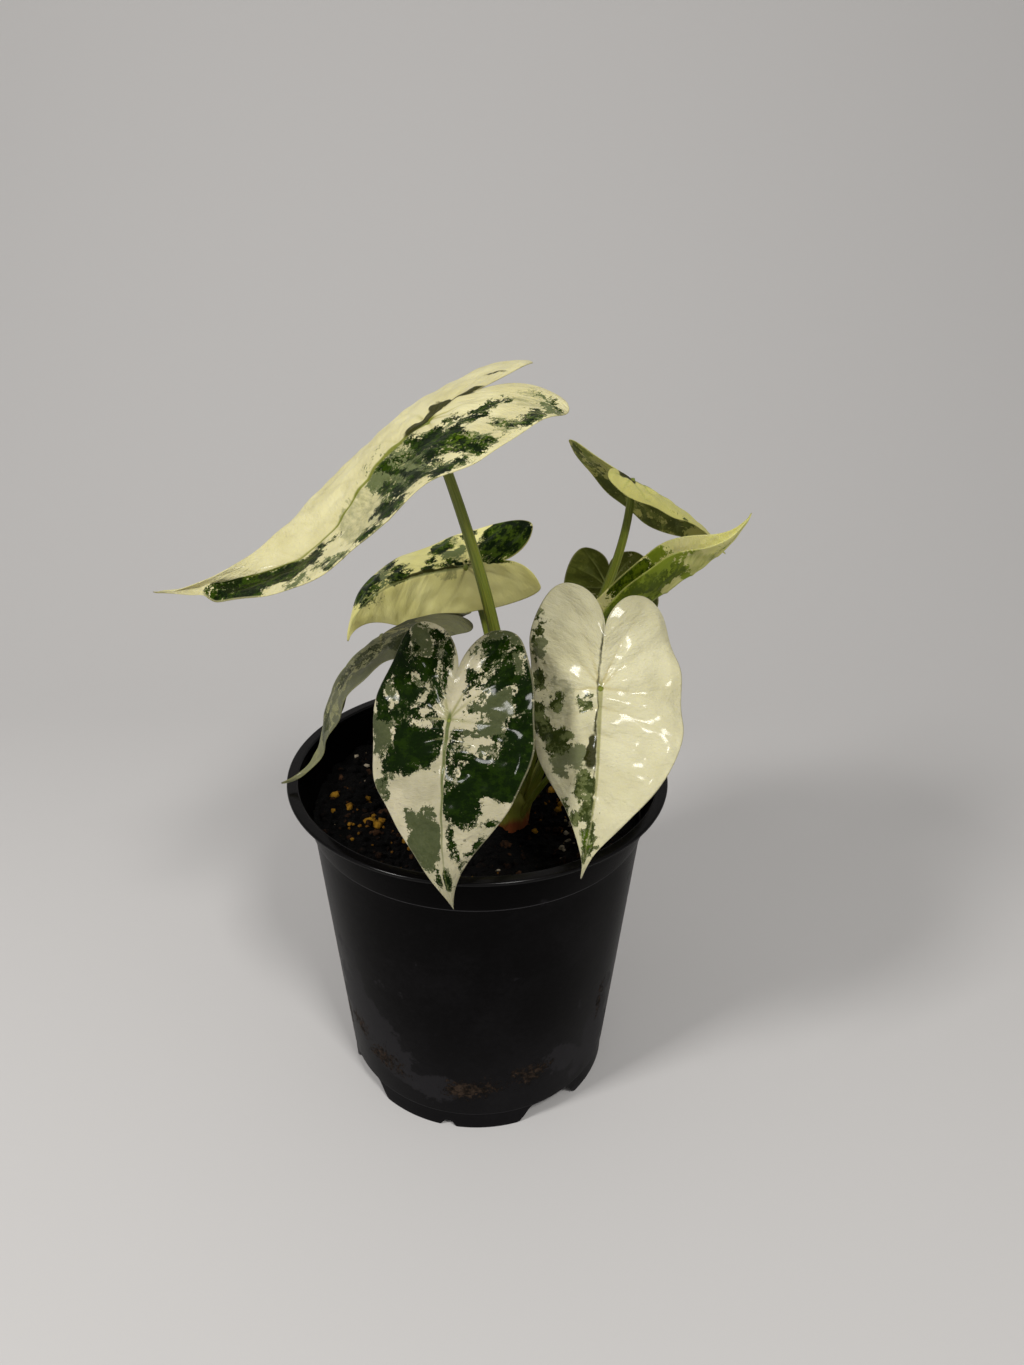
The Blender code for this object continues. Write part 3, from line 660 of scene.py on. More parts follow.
BLADE_COLUMNS = 46
MIDRIB_RADIUS = 0.0011
# The last kind of patch is painted shade: dark in folds and gaps, at the sinus and along the midrib.
PATCH_KINDS = ("cream", "mist", "grey", "dark", "crease")
PATCH_SQUARENESS = 3.5
PATCH_DRIFTS = ((0.012, 0.0013), (0.0045, 0.0006))


def lobe_length(leaf, side):
    return leaf["lobe"] * (leaf.get("shorter_right_lobe", 1.0) if side > 0 else 1.0)


def margin(leaf, share, side):
    """The flat outer margin, from the lobe's end (0) to the tip (1), as two cubic curves.

    A blunt half narrows at once to a thin tail before the tip.
    """
    width = leaf["half_width"] * leaf.get("wider_right" if side > 0 else "wider_left", 1.0)
    point = leaf.get("tip_width", TIP_WIDTH)
    lobe = lobe_length(leaf, side)
    offset = leaf["lobe_offset"]
    widest = leaf["widest_at"]
    length = leaf["length"]
    back = bezier((-lobe, offset), (-lobe, offset + LOBE_LEAN * (width - offset)),
                  (widest - SHOULDER_LEAN * (widest + lobe), width), (widest, width),
                  np.clip(share / WIDEST_SHARE, 0, 1))
    front = bezier((widest, width), (widest + FLANK_LEAN * (length - widest), width),
                   (length - TIP_LEAN * (length - widest), point * width), (length, 0.0),
                   np.clip((share - WIDEST_SHARE) / (1 - WIDEST_SHARE), 0, 1))
    outline = np.where((share < WIDEST_SHARE)[:, None], back, front)
    blunt = leaf.get("blunt_left") if side < 0 else None
    if blunt:
        tail = TAIL_WIDTH * np.clip((length - outline[:, 0]) / (length - blunt), 0, 1)**0.7
        left = np.clip((blunt - outline[:, 0]) / BLUNT_END + 0.5, 0, 1)
        left = left * left * (3 - 2 * left)
        outline[:, 1] = left * outline[:, 1] + (1 - left) * np.minimum(outline[:, 1], tail)
    return outline


def flat_half(leaf, share, across, side):
    """One flat half as cross ribs from the midrib (0) to the margin (1).

    A rib runs straight, and the ribs near the sinus bend like its edge.
    """
    sinus = leaf["sinus"]
    lobe = lobe_length(leaf, side)
    offset = leaf["lobe_offset"]
    outer = margin(leaf, share, side)
    root = np.stack([-sinus + (leaf["length"] + sinus) * share**ROOT_SPACING, 0 * share], -1)
    straight = root[:, None] * (1 - across)[None, :, None] + outer[:, None] * across[None, :, None]
    edge = bezier((-sinus, 0.0), (-sinus - SINUS_LEAN * (lobe - sinus), SINUS_MOUTH * offset),
                  (-lobe, SINUS_LEAN * offset), (-lobe, offset), across)
    chord = np.stack([-sinus * (1 - across) - lobe * across, offset * across], -1)
    near_sinus = np.clip(1 - share / SINUS_FADE, 0, 1)**2
    half = straight + near_sinus[:, None, None] * (edge - chord)[None]
    half[..., 1] *= side
    return half


def along(values, leaf, u):
    """Blend values given from the lobes' end, through the junction, to the tip.

    Each stretch is a cubic that passes through its two values and keeps the
    slope between their neighbours.
    """
    values = np.asarray(values, float)
    steps = len(values) - 2
    place = np.where(u < 0, 1 + np.maximum(u, -leaf["lobe"]) / leaf["lobe"],
                     1 + steps * np.clip(u / leaf["length"], 0, 1))
    padded = np.concatenate(([2 * values[0] - values[1]], values, [2 * values[-1] - values[-2]]))
    index = np.clip(np.floor(place).astype(int), 0, steps)
    part = place - index
    a, b, c, d = (padded[index + shift] for shift in range(4))
    bend = 2 * a - 5 * b + 4 * c - d
    twist = 3 * (b - c) + d - a
    return b + 0.5 * part * (c - a + part * (bend + part * twist))


def directions(heading, rise, roll):
    """Unit vectors ahead, to the right and up, for a heading, a rise and a roll in degrees."""
    heading, rise, roll = (np.radians(np.asarray(angle, float))[..., None]
                           for angle in (heading, rise, roll))
    level_ahead = np.concatenate([np.cos(heading), np.sin(heading), 0 * heading], -1)
    ahead = np.cos(rise) * level_ahead + np.sin(rise) * np.array([0.0, 0.0, 1.0])
    level = np.concatenate([np.sin(heading), -np.cos(heading), 0 * heading], -1)
    upright = np.cross(level, ahead)
    right = np.cos(roll) * level + np.sin(roll) * upright
    return ahead, right, np.cos(roll) * upright - np.sin(roll) * level


def sway(leaf, flat):
    """How far a flat point moves to the right where the midrib bows, and none of it at the margin."""
    u, v = flat[..., 0], flat[..., 1]
    share = np.linspace(0, 1, 80)
    left, right = (np.interp(u, *margin(leaf, share, side).T) for side in (-1, 1))
    inwards = 1 - np.clip(np.abs(v) / np.maximum(np.where(v < 0, left, right), 0.0005), 0, 1)
    return along(leaf.get("sway", (0, 0, 0)), leaf, u) * inwards


def place_blade(leaf, flat):
    """Carry flat points (u, v) onto the bent midrib.

    The midrib's place is the sum of its forward vectors from the junction.
    Across it each half is an arc: it leaves at the fold angle and turns by
    the curl angle over the half-width.
    """
    u = np.linspace(-leaf["lobe"], leaf["length"], MIDRIB_POINTS)
    forward, right, up = directions(*(along(leaf[key], leaf, u) for key in ("heading", "rise", "roll")))
    steps = 0.5 * (forward[1:] + forward[:-1]) * np.diff(u)[:, None]
    line = np.concatenate([np.zeros((1, 3)), np.cumsum(steps, 0)])
    at_junction = np.array([np.interp(0.0, u, line[:, axis]) for axis in range(3)])
    line += np.array(leaf["junction"]) - at_junction
    along_u = flat[..., 0]
    across = flat[..., 1]

    def read(table):
        return np.stack([np.interp(along_u, u, table[:, axis]) for axis in range(3)], -1)

    on_right = across >= 0
    fold = np.radians(np.where(on_right, along(leaf["fold_right"], leaf, along_u),
                               along(leaf["fold_left"], leaf, along_u)))
    curl = np.radians(np.where(on_right, along(leaf["curl_right"], leaf, along_u),
                               along(leaf["curl_left"], leaf, along_u)))
    distance = np.abs(across)
    half_turn = 0.5 * curl * distance / leaf["half_width"]
    chord = distance * np.sinc(half_turn / np.pi)
    sideways = np.sign(across) * chord * np.cos(fold + half_turn) + sway(leaf, flat)
    lifted = chord * np.sin(fold + half_turn)
    return read(line) + sideways[..., None] * read(right) + lifted[..., None] * read(up)


def vein_field(leaf, flat):
    """How near each flat point is to a vein: the distance, and the strength there.

    A vein is a curve with one lean: it leaves the midrib steeply and bends
    towards the tip, or towards the lobe's end where it runs back.
    """
    nearest = np.full(flat.shape[:-1], 1.0)
    strength = np.zeros(flat.shape[:-1])
    share = np.linspace(0, 1, VEIN_STEPS)[:, None]
    for side in (-1, 1):
        for start, end, force in VEINS:
            root = np.array([start * leaf["length"], 0.0])
            goal = margin(leaf, np.array([end]), side)[0] * (1, side)
            lean = root + (goal - root) * ((0.30, 0.62) if goal[0] > root[0] else (0.62, 0.42))
            curve = (1 - share)**2 * root + 2 * share * (1 - share) * lean + share**2 * goal
            way = curve[1:] - curve[:-1]
            for step, (begin, stretch) in enumerate(zip(curve, way)):
                there = np.clip(((flat - begin) @ stretch) / (stretch @ stretch), 0, 1)
                away = np.linalg.norm(flat - begin - there[..., None] * stretch, axis=-1)
                weight = force * (1 - 0.6 * (step + there) / (VEIN_STEPS - 1))
                strength = np.where(away < nearest, weight, strength)
                nearest = np.minimum(nearest, away)
    return nearest, strength


def waviness(flat, seed, length, count=9):
    """Soft uneven waves over the flat blade: a sum of sines in random directions."""
    draw = np.random.default_rng(seed)
    height = 0
    for _ in range(count):
        turn, phase, stretch = draw.uniform(0, 2 * np.pi), draw.uniform(0, 2 * np.pi), draw.uniform(0.7, 1.5)
        way = flat @ np.array([np.cos(turn), np.sin(turn)])
        height = height + np.sin(2 * np.pi * way / (length * stretch) + phase)
    return height / np.sqrt(count)


def patch_field(leaf, flat, kind):
    """How deep a flat point lies in the patches of one kind, in millimetres.

    The patches are listed in runs of one kind. Each is a squarish oval: its
    middle (u, v), its half-lengths along u and v, and its turn. A patch cuts
    earlier ones of the kinds above it.
    """
    field = np.full(flat.shape[:-1], -9.0)
    spots = [(name, *spot) for name, *run in leaf["patches"] for spot in run]
    for name, u, v, long, wide, *turned_by in spots:
        angle = np.radians(turned_by[0] if turned_by else 0)
        x = flat[..., 0] * 1000 - u
        y = flat[..., 1] * 1000 - v
        x, y = x * np.cos(angle) + y * np.sin(angle), y * np.cos(angle) - x * np.sin(angle)
        reach = np.abs(x / long)**PATCH_SQUARENESS + np.abs(y / wide)**PATCH_SQUARENESS
        reach = reach**(1 / PATCH_SQUARENESS)
        depth = (1 - reach) * min(long, wide)
        if name == kind:
            field = np.maximum(field, depth)
        elif PATCH_KINDS.index(name) < PATCH_KINDS.index(kind):
            field = np.minimum(field, -depth)
    return field


def hills(listed, flat):
    """The sum of soft round hills over the flat blade, each with a middle, two sizes and a height."""
    height = 0 * flat[..., 0]
    for u, v, long, wide, rise in listed:
        x = (flat[..., 0] * 1000 - u) / long
        y = (flat[..., 1] * 1000 - v) / wide
        height = height + rise * np.exp(-x * x - y * y)
    return height


def blade_grid(leaf):
    """The flat blade on a grid: rows from the sinus to the tip, columns from left to right."""
    share = np.concatenate([[0, 0.0015, 0.005], np.linspace(0.011, 1, BLADE_ROWS)])**RIB_SPACING
    even = np.linspace(0, 1, BLADE_COLUMNS)
    across = 0.45 * even + 0.55 * (0.5 - 0.5 * np.cos(np.pi * even))
    left = flat_half(leaf, share, across, -1)[:, ::-1]
    right = flat_half(leaf, share, across, 1)[:, 1:]
    signed = np.concatenate([-across[::-1], across[1:]])
    return np.concatenate([left, right], axis=1), share, signed


def make_blade(name, leaf, finish, seed):
    """One blade: the sheet on the formula, with its veins, quilting and thickness.

    The lower face is the upper one moved down by the thickness, which falls
    to nothing at the margin like a quarter circle. Veins are grooves above
    and ridges below.
    """
    flat, share, signed = blade_grid(leaf)
    middle = place_blade(leaf, flat)
    normal = unit(np.cross(np.gradient(middle, axis=1), np.gradient(middle, axis=0)))
    normal[-1] = normal[-2]
    edges = np.stack([flat - flat[:1], flat - flat[:, :1], flat - flat[:, -1:]])
    from_edge = np.min(np.linalg.norm(edges, axis=-1), 0)
    edge = np.sqrt(1 - (1 - np.clip(from_edge / EDGE_WIDTH, 0, 1))**2)
    inside = np.clip(from_edge / MARGIN_FADE, 0, 1)
    nearest, strength = vein_field(leaf, flat)
    vein = strength * np.exp(-(nearest / VEIN_WIDTH)**2)
    quilt = (1 - strength * np.exp(-(nearest / QUILT_WIDTH)**2)) * leaf.get("quilt", QUILT_HEIGHT)
    to_tip = np.clip((leaf["length"] - flat[..., 0]) / leaf["length"], 0, 1)
    midrib = np.exp(-(flat[..., 1] / (0.0004 + 0.0008 * to_tip) / leaf.get("wide_midrib", 1.0))**2)
    midrib = midrib * np.clip(1 + flat[..., 0] / MIDRIB_FADE, 0, 1)
    outward = np.abs(signed)**2
    wave = waviness(flat, seed, leaf.get("wave", WAVE_LENGTH)) * leaf.get("wave_height", WAVE_HEIGHT)
    wave = wave * outward + waviness(flat, seed + 50, RIPPLE_LENGTH) * RIPPLE_HEIGHT * inside
    relief = quilt * inside + wave + 0.001 * hills(leaf.get("swells", ()), flat)
    relief = relief - VEIN_GROOVE * vein * inside - MIDRIB_GROOVE * midrib * inside * to_tip
    half = 0.5 * BLADE_THICKNESS * edge
    keel = MIDRIB_RADIUS * (0.25 + 0.75 * to_tip) * midrib * edge
    ridge = VEIN_RIDGE * vein * edge
    upper = middle + normal * (relief + half)[..., None]
    lower = middle + normal * (relief - half - keel - ridge)[..., None]
    size = 10 * np.array([leaf["length"] + leaf["sinus"], leaf["half_width"]])
    ribs = np.stack([share[:, None] + 0 * signed, signed + 0 * share[:, None]], -1) * size
    drifted = flat
    off_midrib = np.clip(np.abs(flat[..., 1:]) / 0.005, 0, 1)
    for number, (length, reach) in enumerate(PATCH_DRIFTS):
        drift = [waviness(flat, seed + 20 + 2 * number + axis, length) for axis in (0, 1)]
        drifted = drifted + reach * off_midrib * np.stack(drift, -1)
    both = {kind: patch_field(leaf, drifted, kind) for kind in PATCH_KINDS[1:]}
    near = np.exp(-np.sum(flat**2, -1) / NEAR_JUNCTION**2)
    shown = leaf.get("clear_veins", 0.25)
    both.update(vein=vein * (shown + (1 - shown) * near), midrib=midrib * (0.35 + 0.65 * to_tip),
                rim=from_edge * 1000, bright=hills(leaf.get("brights", ()), flat))
    values = {label: np.stack([value, value]) for label, value in both.items()}
    values["upper"] = np.stack([0 * vein + 1, 0 * vein])
    maps = {"flat": np.stack([flat, flat]) * 10, "ribs": np.stack([ribs, ribs])}
    piece = make_piece(name, [upper, lower], finish, values, maps)
    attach(piece, "root")
    return piece


BLADE_VALUES = ("Dark", "Grey", "Mist", "Vein", "Midrib", "Rim", "Upper", "Bright", "Crease")
BLADE_SETTINGS = ("Freckles", "Ragged", "Flecks")
BLADE_MAPS = ("Flat", "Ribs")
BLADE_COLOURS = {
    "Cream": rgb(0.66, 0.62, 0.37), "Cream Shade": rgb(0.55, 0.51, 0.28),
    "Grey Green": rgb(0.125, 0.145, 0.060), "Dark Green": rgb(0.0026, 0.0085, 0.0001),
    "Light Green": rgb(0.012, 0.026, 0.0005), "Bright Green": rgb(0.048, 0.082, 0.003),
    "Vein Tint": rgb(0.36, 0.33, 0.13), "Midrib Tint": rgb(0.20, 0.22, 0.08),
    # The near-black tint for the last kind of patch is painted shade.
    "Crease Tint": rgb(0.016, 0.018, 0.001), "Under Tint": rgb(0.27, 0.27, 0.12),
}


def variegation_group():
    """The pattern of a variegated blade, from its patches, veins and two flat maps.

    A patch's depth is roughened by noise of three sizes and then cut at zero,
    so that its edge crumbles. Dark green lies over grey-green, which lies
    over a pale mist, which lies over cream.
    """
    tree = bpy.data.node_groups.new("variegation", "ShaderNodeTree")
    sockets = (("Float", "INPUT", (*BLADE_VALUES, *BLADE_SETTINGS)), ("Vector", "INPUT", BLADE_MAPS),
               ("Color", "INPUT", BLADE_COLOURS), ("Color", "OUTPUT", ("Color",)),
               ("Float", "OUTPUT", ("Roughness", "Height")))
    for kind, in_out, names in sockets:
        for name in names:
            tree.interface.new_socket(name, in_out=in_out, socket_type="NodeSocket" + kind)
    given = tree.nodes.new("NodeGroupInput").outputs
    result = tree.nodes.new("NodeGroupOutput").inputs
    flat, ribs = given["Flat"], given["Ribs"]
    stretched = put(tree, "ShaderNodeMapping", {"Vector": ribs, "Scale": (3.2, 1.0, 1.0)})
    coarse = noise(tree, flat, 13, 4, 0.6)
    crumbs = noise(tree, flat, 34, 7, 0.75, offset=5.0)
    streaks = noise(tree, stretched, 12, 6, 0.72, offset=9.0)
    specks = noise(tree, flat, 75, 4, 0.65, offset=13.0)
    broad = noise(tree, flat, 6, 3, 0.5, offset=17.0)
    across = maths(tree, "ABSOLUTE", put(tree, "ShaderNodeSeparateXYZ", {0: flat}, output=1))
    steady = maths(tree, "ADD", 0.2, times(tree, fade(tree, across, 0.004, 0.030), 0.8))
    crumble = times(tree, total(tree, (crumbs, 1.1), (specks, 1.0)), given["Ragged"])
    loose_grey = times(tree, total(tree, (coarse, 1.0), (crumble, 1.0), (streaks, 1.6)), steady)
    loose_dark = times(tree, total(tree, (coarse, 0.8), (crumble, 1.0), (streaks, 1.1)), steady)
    grey_depth = maths(tree, "ADD", given["Grey"], loose_grey)
    dark_depth = maths(tree, "ADD", given["Dark"], loose_dark)
    mist_depth = total(tree, (given["Mist"], 1.0), (coarse, 1.2), (crumbs, 1.2), (streaks, 2.4))
    grey, dark, mist = (fade(tree, depth, -0.12, 0.12) for depth in (grey_depth, dark_depth, mist_depth))
    flecks = total(tree, (specks, 0.9), (streaks, 0.8), (crumbs, 0.3), (dark_depth, -0.13),
                   (given["Flecks"], 1.0), (given["Bright"], 0.45))
    flecks = fade(tree, flecks, 0.50, 0.62)
    cream = mix(tree, fade(tree, broad, -1.0, 1.0), given["Cream"], given["Cream Shade"])
    cream = mix(tree, given["Vein"], cream, given["Vein Tint"])
    pale = mix(tree, fade(tree, streaks, -0.7, 0.9), given["Cream Shade"], given["Grey Green"])
    cream = mix(tree, times(tree, mist, 0.65), cream, pale)
    mottle = fade(tree, total(tree, (crumbs, 0.6), (streaks, 0.6)), -0.9, 1.1)
    grey_tone = mix(tree, mottle, given["Grey Green"], given["Light Green"])
    grey_tone = mix(tree, 0.45, given["Grey Green"], grey_tone)
    green = mix(tree, fade(tree, total(tree, (coarse, 0.6), (crumbs, 0.7), (streaks, 0.6)), -0.15, 0.45),
                given["Dark Green"], given["Light Green"])
    lit = fade(tree, total(tree, (given["Bright"], 1.0), (crumbs, 0.8), (streaks, 0.4)), 0.85, 1.15)
    green = mix(tree, lit, green, given["Bright Green"])
    colour = mix(tree, grey, cream, grey_tone)
    dark_flecked = mix(tree, times(tree, flecks, 0.75), green,
                       mix(tree, fade(tree, coarse, -0.3, 0.5), given["Grey Green"], given["Cream Shade"]))
    colour = mix(tree, dark, colour, dark_flecked)
    colour = mix(tree, fade(tree, given["Vein"], 0.25, 0.9), colour, given["Vein Tint"])
    spots = fade(tree, noise(tree, flat, 130, 2, 0.4, offset=23.0), 1.22, 1.34)
    colour = mix(tree, times(tree, spots, given["Freckles"]), colour, rgb(0.03, 0.02, 0.01))
    midrib = times(tree, fade(tree, given["Midrib"], 0.25, 0.75), 0.9)
    colour = mix(tree, midrib, colour, given["Midrib Tint"])
    # Painted shade: the last kind of patch darkens folds and gaps towards a near-black tint.
    crease = fade(tree, total(tree, (given["Crease"], 1.0), (coarse, 0.12), (streaks, 0.12)), -0.25, 0.25)
    colour = mix(tree, times(tree, crease, 0.95), colour, given["Crease Tint"])
    rim = fade(tree, given["Rim"], 0.75, 0.25)
    colour = mix(tree, times(tree, rim, 0.4), colour, given["Cream Shade"])
    under = maths(tree, "SUBTRACT", 1.0, given["Upper"])
    colour = mix(tree, times(tree, under, 0.22), colour, given["Under Tint"])
    tree.links.new(colour, result["Color"])
    tree.links.new(total(tree, (crumbs, 0.05), (under, 0.15), (1.0, 0.38)), result["Roughness"])
    folds = noise(tree, stretched, 4.5, 4, 0.6, offset=31.0)
    dimples = noise(tree, flat, 17, 4, 0.55, offset=37.0)
    ripples = noise(tree, stretched, 27, 3, 0.6, offset=41.0)
    height = total(tree, (folds, 0.7), (dimples, 0.35), (streaks, 0.30), (ripples, 0.22), (crumbs, 0.12))
    tree.links.new(times(tree, height, total(tree, (given["Upper"], 0.85), (1.0, 0.15))), result["Height"])
    return tree


variegation = variegation_group()


def blade_finish(name, freckles=0.0, ragged=1.1, flecks=0.0, subsurface=0.2, gloss=0.12, relief=1.0,
                 **colours):
    """A blade's skin: the variegation with this blade's own tints, glossy above, duller below."""
    made, tree, shader = new_material(name, Specular_IOR_Level=0.01, Subsurface_Weight=subsurface,
                                      Subsurface_Scale=0.0015, Subsurface_Radius=(1.0, 0.9, 0.35),
                                      Coat_Weight=gloss, Coat_Roughness=0.075 + 0.2 * gloss)
    pattern = tree.nodes.new("ShaderNodeGroup")
    pattern.node_tree = variegation
    for label in BLADE_VALUES:
        tree.links.new(attribute(tree, label.lower()), pattern.inputs[label])
    for label in BLADE_MAPS:
        tree.links.new(put(tree, "ShaderNodeUVMap", {}, uv_map=label.lower()), pattern.inputs[label])
    own = {label.replace("_", " "): value for label, value in colours.items()}
    own.update(zip(BLADE_SETTINGS, (freckles, ragged, flecks)))
    for label, value in {**BLADE_COLOURS, **own}.items():
        pattern.inputs[label].default_value = value
    wire(tree, shader, {"Base Color": pattern.outputs["Color"], "Roughness": pattern.outputs["Roughness"]})
    bump(tree, shader, pattern.outputs["Height"], 0.0004 * relief)
    return made
